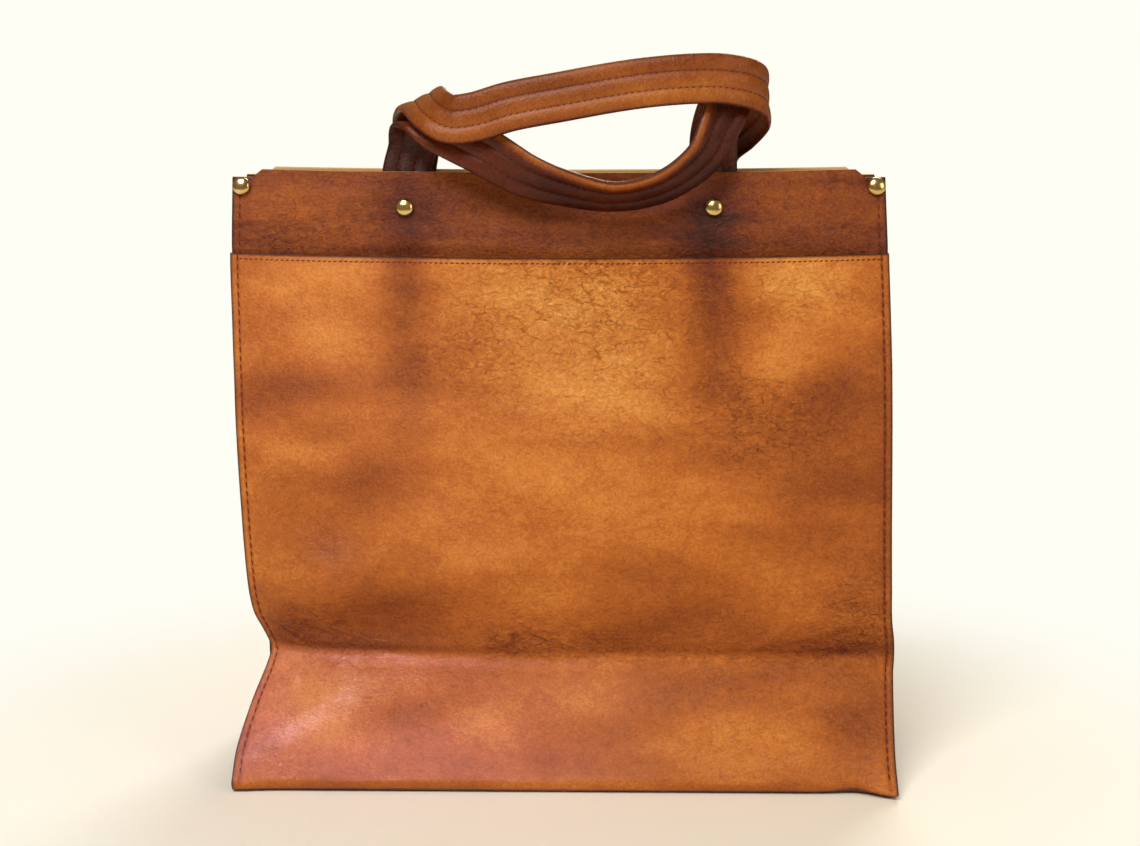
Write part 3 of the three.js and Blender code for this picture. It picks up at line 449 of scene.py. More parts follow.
def waxed_leather(name, shades, grain_mm, crackle_mm, crackle_depth, cloud_mm, cloud_share, roughness,
                  flesh_shade):
    """Full-grain leather, waxed by hand. The eye sees streaky clouds of darker dye, a fine pebble grain
    that breaks into small wrinkles where the hide was bent, a soft low gloss, a dull flesh side and
    dark cut edges."""
    material, place = empty_material(name)
    paint = {key: add_node(material, "Attribute", {"attribute_name": key}).outputs["Fac"]
             for key in ("tone", "wrinkle", "polish", "flesh", "raw")}
    streaked = add_node(material, "Mapping", {
        "Rotation": (0.0, math.radians(-8), 0.0), "Scale": (0.42, 0.7, 1.0)}, {"Vector": place})
    clouds = add_node(material, "TexNoise", {
        "Scale": 1000 / cloud_mm, "Detail": 4.0, "Roughness": 0.55, "Distortion": 0.6}, {"Vector": streaked})
    mottle = add_node(material, "TexNoise", {
        "Scale": 1000 / (cloud_mm * 0.14), "Detail": 5.0, "Roughness": 0.62, "Distortion": 0.3},
        {"Vector": place})
    # Fine wrinkles: the borders of warped cells, broken up so that they never close into rings
    warp = add_node(material, "TexNoise", {"Scale": 1000 / (crackle_mm * 1.3), "Detail": 4.0},
                    {"Vector": place})
    drawn = add_node(material, "Mapping", {
        "Rotation": (0.0, math.radians(6), 0.0), "Scale": (0.62, 1.0, 1.0)}, {"Vector": place})
    bent = add_node(material, "VectorMath", {"operation": "MULTIPLY_ADD", 1: (crackle_mm / 800,) * 3},
                    {0: warp.outputs["Color"], 2: drawn})
    crackle = add_node(material, "TexVoronoi", {"feature": "DISTANCE_TO_EDGE", "Scale": 1000 / crackle_mm},
                       {"Vector": bent})
    line = add_node(material, "MapRange", {
        "From Max": 0.10, "To Min": 1.0, "To Max": 0.0, "interpolation_type": "SMOOTHSTEP"},
        {"Value": crackle})
    broken = add_node(material, "TexNoise", {"Scale": 1000 / (crackle_mm * 1.6), "Detail": 3.0},
                      {"Vector": place})
    broken = add_node(material, "MapRange", {"From Min": 0.46, "From Max": 0.60}, {"Value": broken})
    line = add_node(material, "Math", {"operation": "MULTIPLY"}, {0: line, 1: broken})
    wrinkle = add_node(material, "Math", {"operation": "MULTIPLY"}, {0: line, 1: paint["wrinkle"]})
    crumple = add_node(material, "TexNoise", {
        "Scale": 1000 / (crackle_mm * 0.7), "Detail": 4.0, "Roughness": 0.62, "Distortion": 1.6},
        {"Vector": drawn})
    crumple = add_node(material, "Math", {"operation": "SUBTRACT", 1: 0.5}, {0: crumple})
    crumple = add_node(material, "Math", {"operation": "MULTIPLY"}, {0: crumple, 1: paint["wrinkle"]})
    grain = add_node(material, "TexVoronoi", {
        "feature": "SMOOTH_F1", "Scale": 1000 / grain_mm, "Smoothness": 0.6}, {"Vector": place})
    pores = add_node(material, "TexNoise", {"Scale": 1000 / (grain_mm * 0.6), "Detail": 2.0},
                     {"Vector": place})
    # Tone: the tone attribute, with the hide's clouds and its painted light and shade, then the hide's own
    # streaks, a little mottle, and wax left in grain and wrinkles. Each part has its share and the value at
    # which it neither darkens nor lightens.
    tone = paint["tone"]
    for source, share, centre in ((clouds, cloud_share, 0.5), (mottle, 0.22, 0.5), (grain, -0.14, 0.35),
                                  (pores, 0.14, 0.5), (wrinkle, -0.20, 0.0), (crumple, 0.85, 0.0)):
        part = add_node(material, "Math", {"operation": "MULTIPLY_ADD", 1: share, 2: -share * centre},
                        {0: source})
        tone = add_node(material, "Math", {"operation": "ADD"}, {0: tone, 1: part})
    ramp = add_node(material, "ValToRGB", links={"Fac": tone})
    elements = ramp.color_ramp.elements
    while len(elements) < len(shades):
        elements.new(0.5)
    for element, (position, colour) in zip(elements, shades):
        element.position = position
        element.color = linear(colour)
    hide = add_node(material, "MixRGB", {"Color2": linear(flesh_shade)},
                    {"Fac": paint["flesh"], "Color1": ramp})
    cut = add_node(material, "MixRGB", {"Color2": linear("#1c0a04")}, {"Fac": paint["raw"], "Color1": hide})
    # Relief: wrinkles and crumpling, then the pebble grain, then pores
    deep = add_node(material, "Bump", {"Distance": crackle_depth / 1000, "invert": True},
                    {"Height": wrinkle})
    soft = add_node(material, "Bump", {"Distance": crackle_depth * 9.0 / 1000},
                    {"Height": crumple, "Normal": deep})
    pebble = add_node(material, "Bump", {"Strength": 0.8, "Distance": 0.00016, "invert": True},
                      {"Height": grain, "Normal": soft})
    fine = add_node(material, "Bump", {"Strength": 0.6, "Distance": 0.00012},
                    {"Height": pores, "Normal": pebble})
    # Gloss: uneven over the grain side, none on the flesh side, and a thin coat of wax where it is rubbed
    gloss = add_node(material, "Math", {"operation": "MULTIPLY_ADD", 1: 0.22, 2: roughness - 0.11},
                     {0: mottle})
    gloss = add_node(material, "MixRGB", {"Color2": (0.95, 0.95, 0.95, 1)},
                     {"Fac": paint["flesh"], "Color1": gloss})
    rubbed = add_node(material, "MapRange", {"From Min": 0.38, "From Max": 0.60, "To Min": 0.25},
                      {"Value": mottle})
    rubbed = add_node(material, "Math", {"operation": "MULTIPLY"}, {0: paint["polish"], 1: rubbed})
    shader = add_node(material, "BsdfPrincipled", {
        "IOR": 1.45, "Specular IOR Level": 0.30, "Coat Roughness": 0.33, "Coat IOR": 1.5},
        {"Base Color": cut, "Roughness": gloss, "Normal": fine, "Coat Weight": rubbed, "Coat Normal": soft})
    add_node(material, "OutputMaterial", links={"Surface": shader})
    return material


# The panels' hide: cognac that darkens to a red brown at low tone, where wax gathers and where shade is
# painted, with a pale fawn flesh side
COGNAC = [(0.0, "#360e04"), (0.2, "#662808"), (0.4, "#8e460f"), (0.6, "#b3621f"), (0.8, "#d3863a"),
          (1.0, "#e9aa5c")]
cognac_leather = waxed_leather("waxed_cognac_leather", COGNAC, grain_mm=1.5, crackle_mm=4.6,
                               crackle_depth=0.34, cloud_mm=46.0, cloud_share=0.42, roughness=0.46,
                               flesh_shade="#d8b07a")
body.data.materials.append(cognac_leather)
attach(body, "root")
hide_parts("body_panel")

# Front panel. The second skin of the front, cut from the same hide: it is seen as the dark band above
# the pocket, carries the front handle, and runs down behind the pocket into the base fold.
PANEL_SPARE, PANEL_EASE = 1.1, 0.35
top_rows = np.array([0, 0.6, 1.5, 2.6, 4, 6, 9, 13, 18])
band_rows = steps((1.93, 1.80, 18), (1.80, 1.2, 26), (1.2, 0.9, 20), (0.9, 0.0, 16), (0.0, -0.33, 3))
panel_rows = [level_of(BAG_HEIGHT - top_drop(panel_across) * math.exp(-below / TOP_FADE) - below)
              for below in top_rows]
panel_rows += [np.full_like(panel_across, level) for level in band_rows]
panel_level = np.stack(panel_rows)
coarse = wall_point(-1, panel_across, panel_level, fine=False)
coarse_normals = face_normals(coarse, np.array([0, -1, 0]))
# Behind the pocket the panel keeps PANEL_SPARE mm more air, and everywhere PANEL_EASE mm for its ripples
panel_depth = PANEL_LEATHER + SEAM_GAP + PANEL_SPARE + pocket_gap(panel_across, panel_level)
band_calm = np.clip((panel_level - 1.8) / 0.05, 0, 1)
panel_depth = panel_depth - PANEL_SPARE * band_calm
ripple = 0.5 * soft_noise(coarse[..., 0] / 30, coarse[..., 2] / 16, 31) * band_calm
ripple += 0.25 * soft_noise(coarse[..., 0] / 70, coarse[..., 2] / 5, 32) * band_calm
ripple *= np.clip((1 - np.abs(panel_across)) * HALF / 20, 0, 1)
panel_outer = coarse - coarse_normals * (panel_depth + PANEL_EASE + ripple)[..., None]
# The band's tone and its clouds, with painted shade of the handles round their rivets and low on the band by
# the pocket's mouth:
# across, level, wide, tall, lean, lighter (+) or darker (-)
BAND_TONE = 0.335
BAND_CLOUDS_AND_SHADE = [
    (-0.46, 1.90, 0.090, 0.110, 0.0, -0.20), (0.46, 1.88, 0.110, 0.120, 0.0, -0.30),
    (-0.80, 1.94, 0.200, 0.050, 0.0, 0.10), (-0.82, 1.86, 0.180, 0.020, 0.0, 0.06),
    (0.78, 1.95, 0.200, 0.035, 0.0, 0.08), (0.76, 1.87, 0.180, 0.030, 0.0, -0.04),
    (-0.05, 1.88, 0.400, 0.050, 0.0, -0.06), (-0.25, 1.96, 0.120, 0.040, 0.0, 0.04),
    (0.22, 1.90, 0.120, 0.030, 0.0, -0.03), (-0.97, 1.97, 0.030, 0.020, 0.0, -0.24),
    (0.97, 1.97, 0.030, 0.020, 0.0, -0.20),
]
panel_tone = BAND_TONE + cloud_tone(BAND_CLOUDS_AND_SHADE, panel_across, panel_level)
panel_tone = panel_tone + 0.07 * soft_noise(coarse[..., 0] / 50 + 3, coarse[..., 2] / 4.5, 33)
panel_wrinkle = 0.30 + cloud_tone([(-0.85, 1.87, 0.26, 0.06, 0.0, 0.25)], panel_across, panel_level)
# The top edge is cut but not dyed here too
panel_raw = np.ones(panel_level.shape)
panel_raw[0] = 0.0
panel_groove = seam_dip(panel_across, 0.5) * np.ones_like(panel_level)
panel_normals = face_normals(panel_outer, np.array([0, -1, 0]))
panel_skin = panel_outer - panel_normals * (GROOVE_DEPTH * panel_groove)[..., None]
front = leather_sheet("front_panel_leather", panel_skin, panel_outer - panel_normals * (PANEL_LEATHER - 0.4),
                      panel_tone, panel_wrinkle, panel_raw)
front.data.materials.append(cognac_leather)
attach(front, "root")
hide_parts("front_panel")

# Side walls. Thinner brown leather, folded inwards along its middle like a paper bag's side. Its
# margins are sewn flat to the insides of the front and back, and its foot to the base.
SEAM_ALLOWANCE, VALLEY_RAMP, WALL_BOW = 9.0, 0.38, 1.2
BACK_STACK = PANEL_LEATHER + SEAM_GAP + GUSSET_LEATHER
# The foot's rows, in shares of the seam allowance: how high, how far out
FOOT_ROWS = [(0.39, 0.0), (0.13, 0.12), (0.03, 0.5), (0.0, 1.0)]
FLANGE_FOOT, FLANGE_STEP = 0.07, 0.2


def inside_wall(facing, across, level, depth):
    """A point a distance inside the outer face of the front or the back, in mm."""
    step = 0.004
    side = wall_point(facing, np.minimum(across + step, 1), level, False) \
        - wall_point(facing, np.maximum(across - step, -1), level, False)
    up = wall_point(facing, across, np.minimum(level + step, 2), False) \
        - wall_point(facing, across, np.maximum(level - step, -2), False)
    normal = np.cross(side, up) * -facing
    normal /= np.linalg.norm(normal, axis=-1, keepdims=True)
    return wall_point(facing, across, level, False) - normal * np.asarray(depth)[..., None]


def front_stack(across, level):
    """Distance in mm from the bag's front face to a side wall's inner side."""
    return 2 * PANEL_LEATHER + 2 * SEAM_GAP + GUSSET_LEATHER + pocket_gap(across, level)


def gusset_profile(side, level):
    """A side wall at one level, from the front seam round the inward fold to the back seam."""
    share = SEAM_ALLOWANCE / HALF
    inner = side * (1 - share)
    ends = [inside_wall(-1, inner, level, front_stack(inner, level)),
            inside_wall(1, inner, level, BACK_STACK)]
    feet = [inside_wall(-1, inner, 0.0, front_stack(inner, 0.0)), inside_wall(1, inner, 0.0, BACK_STACK)]
    reach = (feet[1][1] - feet[0][1]) / 2
    half_gap = (ends[1][1] - ends[0][1]) / 2
    fold = (ends[0] + ends[1]) / 2
    valley = math.sqrt(max(reach ** 2 - half_gap ** 2, 0) * np.clip(level / VALLEY_RAMP, 0, 1))
    fold[0] -= side * valley
    tip = fold.copy()
    tip[0] += side * 1.4 * min(1, valley / SEAM_ALLOWANCE)
    margin = [0, 0.28, 0.56, 0.8, 1.0]
    walls = np.linspace(0.05, 0.97, 20)[:, None]
    bow = WALL_BOW * np.sin(walls[:, 0] * math.pi)
    halves = [end * (1 - walls) + fold * walls for end in ends]
    halves[0][:, 1] -= bow * min(1, valley / 40)
    halves[1][:, 1] += bow * min(1, valley / 40)
    front = [inside_wall(-1, side * (1 - share * s), level, front_stack(side * (1 - share * s), level))
             for s in margin]
    back = [inside_wall(1, side * (1 - share * s), level, BACK_STACK) for s in margin[::-1]]
    return np.vstack([front, halves[0], [tip], halves[1][::-1], back])


# Thin vegetable-tanned leather, less waxed: a browner, duller hide with softer wrinkles
UMBER = [(0.0, "#2c0d05"), (0.25, "#56240d"), (0.5, "#8a4a20"), (0.75, "#ab6a33"), (1.0, "#c98d50")]
umber_leather = waxed_leather("thin_brown_side_leather", UMBER, grain_mm=1.4, crackle_mm=4.0,
                              crackle_depth=0.2, cloud_mm=44.0, cloud_share=0.4, roughness=0.54,
                              flesh_shade="#9a6a40")
gusset_levels = np.concatenate([level_of(BAG_HEIGHT - CORNER_DROP - np.array([0, 0.7, 1.8, 3.5])),
                                steps((1.95, 1.15, 30), (1.15, 0.9, 22), (0.9, 0.10, 22))])
for side, side_name in ((-1, "left"), (1, "right")):
    profiles = [gusset_profile(side, float(level)) for level in gusset_levels]
    foot, flange = gusset_profile(side, 0.0), gusset_profile(side, FLANGE_FOOT)
    last = len(foot) - 6
    margin = np.r_[0:5, len(foot) - 5:len(foot)]
    for step, (rise, out) in enumerate(FOOT_ROWS):
        row = foot.copy()
        row[:, 2] = BACK_STACK + SEAM_ALLOWANCE * rise
        row[6:last, 0] += side * SEAM_ALLOWANCE * out
        row[margin] = flange[margin]
        row[margin, 2] -= FLANGE_STEP * step
        profiles.append(row)
    outer = np.stack(profiles)
    gusset_z = outer[..., 2]
    # Soft ripples, but none on the margins and near the foot
    ripples = 0.35 * soft_noise(outer[..., 1] / 9 + side, gusset_z / 26, 41)
    middle_part = np.zeros(outer.shape[1])
    middle_part[8:-8] = 1
    lower_calm = np.clip((gusset_z - 18) / 30, 0, 1)
    normals = face_normals(outer, np.array([side, 0, 0]))
    outer = outer + normals * (ripples * middle_part * lower_calm)[..., None]
    tone = 0.50 + 0.12 * soft_noise(outer[..., 1] / 30, gusset_z / 60, 43)
    # Painted shade along the wall's middle, where it folds inwards
    tone -= 0.22 * np.exp(-((np.arange(outer.shape[1]) - outer.shape[1] // 2) / 1.4) ** 2)
    wall = leather_sheet(f"side_wall_{side_name}", outer, outer - normals * GUSSET_LEATHER, tone, 0.3)
    wall.data.materials.append(umber_leather)
    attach(wall, "root")
    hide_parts(f"gusset_{side_name}")

# Strap handles. Two long strips of leather folded over a filler and sewn along two channels, so that
# three rounded lobes stand up. Each is riveted inside its panel and has flopped towards the front.
STRAP_WIDTH, STRAP_THICK, STRAP_END_THICK, STRAP_END = 26.0, 5.0, 4.0, 33.0
HANDLE_SPACING, HANDLE_RISE = 168.0, 50.0
# Free rows: across (share of half the spacing), up and out (shares of the rise), where the inner side faces
FRONT_HANDLE = np.array([
    (-0.970, 0.22, 0.36, 0.00, -1.00, 0.00), (-0.955, 0.40, 0.44, 0.15, -0.80, -0.55),
    (-0.880, 0.49, 0.62, 0.45, 0.00, -0.88), (-0.740, 0.39, 0.80, 0.30, 0.80, -0.40),
    (-0.490, 0.19, 0.93, 0.00, 1.00, 0.10), (-0.220, -0.07, 0.95, 0.00, 0.85, 0.45),
    (0.010, -0.20, 0.94, 0.00, 0.70, 0.68), (0.330, -0.30, 0.92, 0.00, 0.56, 0.83),
    (0.580, -0.24, 0.92, -0.15, 0.60, 0.78), (0.770, -0.09, 0.92, -0.35, 0.65, 0.65),
    (0.930, 0.15, 0.92, -0.50, 0.72, 0.40), (1.010, 0.42, 0.88, -0.50, 0.80, 0.15),
    (1.060, 0.64, 0.76, -0.45, 0.60, -0.55), (1.070, 0.71, 0.60, -0.30, 0.00, -0.95),
    (1.040, 0.62, 0.44, -0.15, -0.70, -0.60), (1.000, 0.36, 0.40, 0.00, -1.00, 0.00),
])
BACK_HANDLE = np.array([
    (-0.980, 0.26, -0.35, 0.00, -1.00, 0.00), (-0.980, 0.50, -0.28, 0.10, -0.85, -0.50),
    (-0.950, 0.66, -0.04, 0.30, -0.45, -0.84), (-0.905, 0.73, 0.24, 0.45, -0.10, -0.89),
    (-0.870, 0.71, 0.58, 0.55, 0.10, -0.83), (-0.800, 0.61, 0.91, 0.50, 0.62, -0.60),
    (-0.690, 0.52, 1.05, 0.14, 0.97, -0.12), (-0.540, 0.54, 1.09, 0.04, 0.99, -0.06),
    (-0.310, 0.65, 1.13, 0.00, 1.00, -0.10),
    (0.010, 0.75, 1.15, 0.00, 1.00, -0.10), (0.380, 0.86, 1.15, 0.00, 1.00, -0.10),
    (0.610, 0.91, 1.14, 0.00, 1.00, -0.10), (0.850, 0.94, 1.11, 0.00, 1.00, -0.05),
    (1.030, 0.94, 1.05, -0.15, 0.98, 0.00), (1.210, 0.89, 0.90, -0.60, 0.80, 0.00),
    (1.310, 0.79, 0.64, -1.00, 0.10, 0.00), (1.290, 0.63, 0.36, -0.75, -0.66, 0.00),
    (1.180, 0.43, 0.06, -0.30, -0.95, 0.00), (1.060, 0.24, -0.24, -0.05, -1.00, 0.00),
])
# Section of the strap from an edge to its middle: shares of half its width and of half its thickness
CHANNEL = 0.34
lobe_across = np.array([1.0, 0.97, 0.90, 0.78, 0.64, 0.52, 0.43, 0.37, CHANNEL, 0.31, 0.24, 0.12])
lobe_proud = [0.22, 0.56, 0.80, 0.94, 0.97, 0.93, 0.83, 0.69, 0.60, 0.69, 0.86, 0.97]
across_lobes = np.concatenate([-lobe_across, [0.0], lobe_across[::-1]])
proud_lobes = np.array(lobe_proud + [1.0] + lobe_proud[::-1])


def panel_face(facing, across, level):
    """Outer face of the sheet that carries a handle: the front panel behind the pocket, or the back."""
    depth = PANEL_LEATHER + SEAM_GAP + pocket_gap(across, level) if facing < 0 else np.zeros(np.shape(across))
    return inside_wall(facing, across, level, depth)


def face_frame(facing, across, height):
    """Place and outward normal of that face, at a share across and a height."""
    level, step = float(level_of(height)), 0.01
    across = float(across)
    side = panel_face(facing, across + step, level) - panel_face(facing, across - step, level)
    up = panel_face(facing, across, level + step) - panel_face(facing, across, level - step)
    normal = np.cross(side, up) * -facing
    return panel_face(facing, across, level), normal / np.linalg.norm(normal)


def curve_through(points, count):
    """Centripetal curve through points: places, and the station (a number between points) of each."""
    padded = np.vstack([2 * points[0] - points[1], points, 2 * points[-1] - points[-2]])
    places, stations = [], []
    for i in range(len(points) - 1):
        p0, p1, p2, p3 = padded[i:i + 4]
        t1 = math.sqrt(max(np.linalg.norm(p1 - p0), 1e-4))
        t2 = t1 + math.sqrt(max(np.linalg.norm(p2 - p1), 1e-4))
        t3 = t2 + math.sqrt(max(np.linalg.norm(p3 - p2), 1e-4))
        last = i == len(points) - 2
        for u in np.linspace(0, 1, count, endpoint=False).tolist() + ([1.0] if last else []):
            t = t1 + u * (t2 - t1)
            a1 = (t1 - t) / t1 * p0 + t / t1 * p1
            a2 = (t2 - t) / (t2 - t1) * p1 + (t - t1) / (t2 - t1) * p2
            a3 = (t3 - t) / (t3 - t2) * p2 + (t - t2) / (t3 - t2) * p3
            b1 = (t2 - t) / t2 * a1 + t / t2 * a2
            b2 = (t3 - t) / (t3 - t1) * a2 + (t - t1) / (t3 - t1) * a3
            places.append((t2 - t) / (t2 - t1) * b1 + (t - t1) / (t2 - t1) * b2)
            stations.append(i + u)
    return np.array(places), np.array(stations)


def settle(values, passes):
    """Smooths a run of vectors, keeping its ends."""
    values = values.copy()
    for _ in range(passes):
        values[1:-1] = 0.25 * values[:-2] + 0.5 * values[1:-1] + 0.25 * values[2:]
    return values


def strap_route(facing, rows):
    """Centre line of a handle with, for each place, the strap's side, its face and its thickness."""
    low, high = BAG_HEIGHT - STRAP_END, BAG_HEIGHT - TOP_SAG
    seats = {}
    for side in (-1, 1):
        for height in (low, (low + high) / 2, high):
            place, normal = face_frame(facing, side * HANDLE_SPACING / 2 / HALF, height)
            inward = PANEL_LEATHER + SEAM_GAP + STRAP_END_THICK / 2
            seats[side, height] = (place - normal * inward, -facing * normal)
    up = [seats[-1, h] for h in (low, (low + high) / 2, high)]
    down = [seats[1, h] for h in (high, (low + high) / 2, low)]
    free = [(np.array([across * HANDLE_SPACING / 2, -out * HANDLE_RISE, BAG_HEIGHT + rise * HANDLE_RISE]),
             np.array(way)) for across, rise, out, *way in rows]
    stations = up + free + down
    seated = np.array([1.0] * 3 + [0.0] * len(free) + [1.0] * 3)
    places, at = curve_through(np.array([s[0] for s in stations]), 14)
    faces = np.array([s[1] for s in stations])
    i = np.minimum(at.astype(int), len(stations) - 2)
    u = (at - i)[:, None]
    face = settle(faces[i] * (1 - u) + faces[i + 1] * u, 16)
    at_end = seated[i] * (1 - u[:, 0]) + seated[i + 1] * u[:, 0]
    thick = STRAP_THICK + (STRAP_END_THICK - STRAP_THICK) * at_end
    run = np.gradient(places, axis=0)
    run /= np.linalg.norm(run, axis=1, keepdims=True)
    sideways = np.cross(run, face)
    sideways /= np.linalg.norm(sideways, axis=1, keepdims=True)
    outwards = np.cross(sideways, run)
    return places, sideways, outwards, thick


def strap_mesh(name, route, darkness, by_lobe):
    """The strap's skin, with painted shade in its channels and painted light and shade along it and across
    its lobes.
    """
    places, sideways, outwards, thick = route
    spread = sideways[:, None] * (across_lobes * STRAP_WIDTH / 2)[None, :, None]
    proud = outwards[:, None] * (proud_lobes[None, :] * thick[:, None] / 2)[..., None]
    upper, lower = places[:, None] + spread + proud, places[:, None] + spread - proud
    channel = np.exp(-((np.abs(across_lobes) - CHANNEL) / 0.03) ** 2)
    share = np.linspace(0, 1, len(places))
    # Painted shade in the channels, then the painted light and shade of the tables along the length and, on
    # the middle stretch, across the lobes
    tone = np.interp(share, *np.array(darkness).T)[:, None] - 0.12 * channel[None, :]
    in_sight = np.exp(-((share - 0.52) / 0.26) ** 4)[:, None]
    tone = tone + in_sight * np.interp(across_lobes, *np.array(by_lobe).T)[None, :]
    tone = tone + 0.07 * soft_noise(upper[..., 0] / 30, upper[..., 2] / 14, 51)
    return leather_sheet(name, upper, lower, tone, 0.3, 0.3, flesh=0.0, bulge=0.4)


# The straps' leather: smoother, glossier from hands, redder and darker, a dyed inner side; the darkness in
# its folds is painted shade from the tone tables
STRAP_SHADES = [(0.0, "#300a03"), (0.25, "#602409"), (0.5, "#95501a"), (0.75, "#c07a30"), (1.0, "#dca75c")]
strap_leather = waxed_leather("waxed_strap_leather", STRAP_SHADES, grain_mm=1.2, crackle_mm=3.6,
                              crackle_depth=0.12, cloud_mm=34.0, cloud_share=0.3, roughness=0.40,
                              flesh_shade="#6b3a1c")
# Share of the length, tone of the leather there: painted shade on the risers and the shaded arc, painted
# light where the folds and the band take it
FRONT_STRAP_LIGHT_AND_SHADE = [(0.0, 0.00), (0.14, 0.02), (0.26, 0.26), (0.45, 0.08), (0.62, 0.06), (0.80, 0.22),
                    (1.0, 0.02)]
BACK_STRAP_LIGHT_AND_SHADE = [(0.0, -0.05), (0.16, 0.00), (0.23, 0.60), (0.27, 0.40), (0.34, 0.30), (0.60, 0.42),
                   (0.76, 0.36), (0.86, 0.02), (1.0, 0.05)]
# Place across the strap, tone that its middle stretch gains there: a painted highlight on the front arc's
# upper rim; on the back band, painted light on the lower lobes and painted shade on the lowest edge
FRONT_STRAP_RIM_HIGHLIGHT = [(-1.0, 0.0), (0.60, 0.0), (0.86, 0.38), (0.97, 0.42), (1.0, 0.1)]
BACK_STRAP_LOBE_LIGHT_AND_SHADE = [(-1.0, -0.20), (-0.90, 0.10), (-0.60, 0.20), (-0.34, 0.20), (0.0, 0.12), (0.3, 0.06),
                    (1.0, 0.00)]
routes = {}
for strap_name, facing, rows, darkness, by_lobe in (
        ("handle_front", -1, FRONT_HANDLE, FRONT_STRAP_LIGHT_AND_SHADE, FRONT_STRAP_RIM_HIGHLIGHT),
        ("handle_back", 1, BACK_HANDLE, BACK_STRAP_LIGHT_AND_SHADE, BACK_STRAP_LOBE_LIGHT_AND_SHADE)):
    routes[strap_name] = strap_route(facing, rows)
    strap = strap_mesh(f"{strap_name}_strap", routes[strap_name], darkness, by_lobe)
    strap.data.materials.append(strap_leather)
    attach(strap, "root")
    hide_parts(strap_name)

# Stitches. Waxed brown thread in short, slightly slanted stitches, each pulled into the leather: down
# both side seams 4 mm in from the raw edges, along the pocket's mouth and in the straps' channels.
bpy.ops.object.select_all(action="DESELECT")
bpy.ops.mesh.primitive_uv_sphere_add(segments=8, ring_count=6, radius=0.5, location=(0, 0, 0))
one_stitch = bpy.context.object
stitch_points = np.array([v.co[:] for v in one_stitch.data.vertices])
stitch_faces = [list(p.vertices) for p in one_stitch.data.polygons]
bpy.data.objects.remove(one_stitch)


# Waxed linen thread, dyed dark brown: dull, with a faint twist that catches a little light
thread, thread_place = empty_material("waxed_brown_thread")
twist = add_node(thread, "TexNoise", {"Scale": 1800.0, "Detail": 1.0}, {"Vector": thread_place})
thread_colour = add_node(thread, "MixRGB", {"Color1": linear("#45130a"), "Color2": linear("#7d3216")},
                         {"Fac": twist})
thread_bump = add_node(thread, "Bump", {"Strength": 0.6, "Distance": 0.0002}, {"Height": twist})
thread_shader = add_node(thread, "BsdfPrincipled", {"Roughness": 0.7, "IOR": 1.5, "Specular IOR Level": 0.2},
                         {"Base Color": thread_colour, "Normal": thread_bump})
add_node(thread, "OutputMaterial", links={"Surface": thread_shader})


def turn_outwards(piece):
    """Turns the normals of a piece made of closed parts outwards."""
    bpy.ops.object.select_all(action="DESELECT")
    bpy.context.view_layer.objects.active = piece
    piece.select_set(True)
    bpy.ops.object.mode_set(mode="EDIT")
    bpy.ops.mesh.select_all(action="SELECT")
    bpy.ops.mesh.normals_make_consistent(inside=False)
    bpy.ops.object.mode_set(mode="OBJECT")


def thread_row(name, places, runs, normals, length, thick, slant):
    """One mesh of stitches at places in mm, along runs and turned by the slant in degrees."""
    runs = runs / np.linalg.norm(runs, axis=1, keepdims=True)
    across = np.cross(normals, runs)
    across /= np.linalg.norm(across, axis=1, keepdims=True)
    turn = math.radians(slant)
    long_way = runs * math.cos(turn) + across * math.sin(turn)
    wide_way = across * math.cos(turn) - runs * math.sin(turn)
    shape = stitch_points * np.array([thick, thick * 0.8, length])
    points = (places + BAG_SHIFT)[:, None] + wide_way[:, None] * shape[None, :, 0:1] \
        + normals[:, None] * shape[None, :, 1:2] + long_way[:, None] * shape[None, :, 2:3]
    faces = [[i + k * len(shape) for i in face] for k in range(len(places)) for face in stitch_faces]
    piece = mesh_piece(name, points.reshape(-1, 3), faces)
    turn_outwards(piece)
    piece.data.materials.append(thread)
    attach(piece, "root")


def along_grid(points, normals, column, pitch, start=0, end=None):
    """Places every pitch mm down one column of a grid, with the run and normal there."""
    line, facing = points[start:end, column], normals[start:end, column]
    far = np.concatenate([[0], np.cumsum(np.linalg.norm(np.diff(line, axis=0), axis=1))])
    at = np.arange(pitch / 2, far[-1], pitch)
    pick = lambda values: np.stack([np.interp(at, far, values[:, k]) for k in range(3)], axis=1)
    run = pick(np.gradient(line, axis=0))
    facing = pick(facing)
    return pick(line), run, facing / np.linalg.norm(facing, axis=1, keepdims=True)


# Side seams, by the rows of the grids: the pocket to the base fold, the back, and the band
front_end = len(mouth_rows) + len(pocket_rows) + 36
back_start = len(mouth_rows) + len(pocket_rows) + len(base_rows) + 17
for side_name, column in (("left", SEAM_COLUMN), ("right", len(panel_across) - 1 - SEAM_COLUMN)):
    for part_name, grid, normals, start, end in (
            ("pocket", skin_outer, skin_normals, 0, front_end),
            ("back", skin_outer, skin_normals, back_start, len(grid_rows) - 4),
            ("band", panel_skin, panel_normals, 5, 25)):
        places, runs, facing = along_grid(grid, normals, column, 5.0, start, end)
        thread_row(f"{part_name}_seam_stitches_{side_name}", places + facing * 0.12, runs, facing,
                   length=3.7, thick=0.95, slant=6)
# The pocket's mouth, along the fifth row below its edge
mouth_line = np.swapaxes(skin_outer[:8], 0, 1)
mouth_normals = np.swapaxes(skin_normals[:8], 0, 1)
places, runs, facing = along_grid(mouth_line, mouth_normals, 4, 2.9, 6, len(panel_across) - 6)
thread_row("pocket_mouth_stitches", places + facing * 0.05, runs, facing, length=2.1, thick=0.7, slant=12)
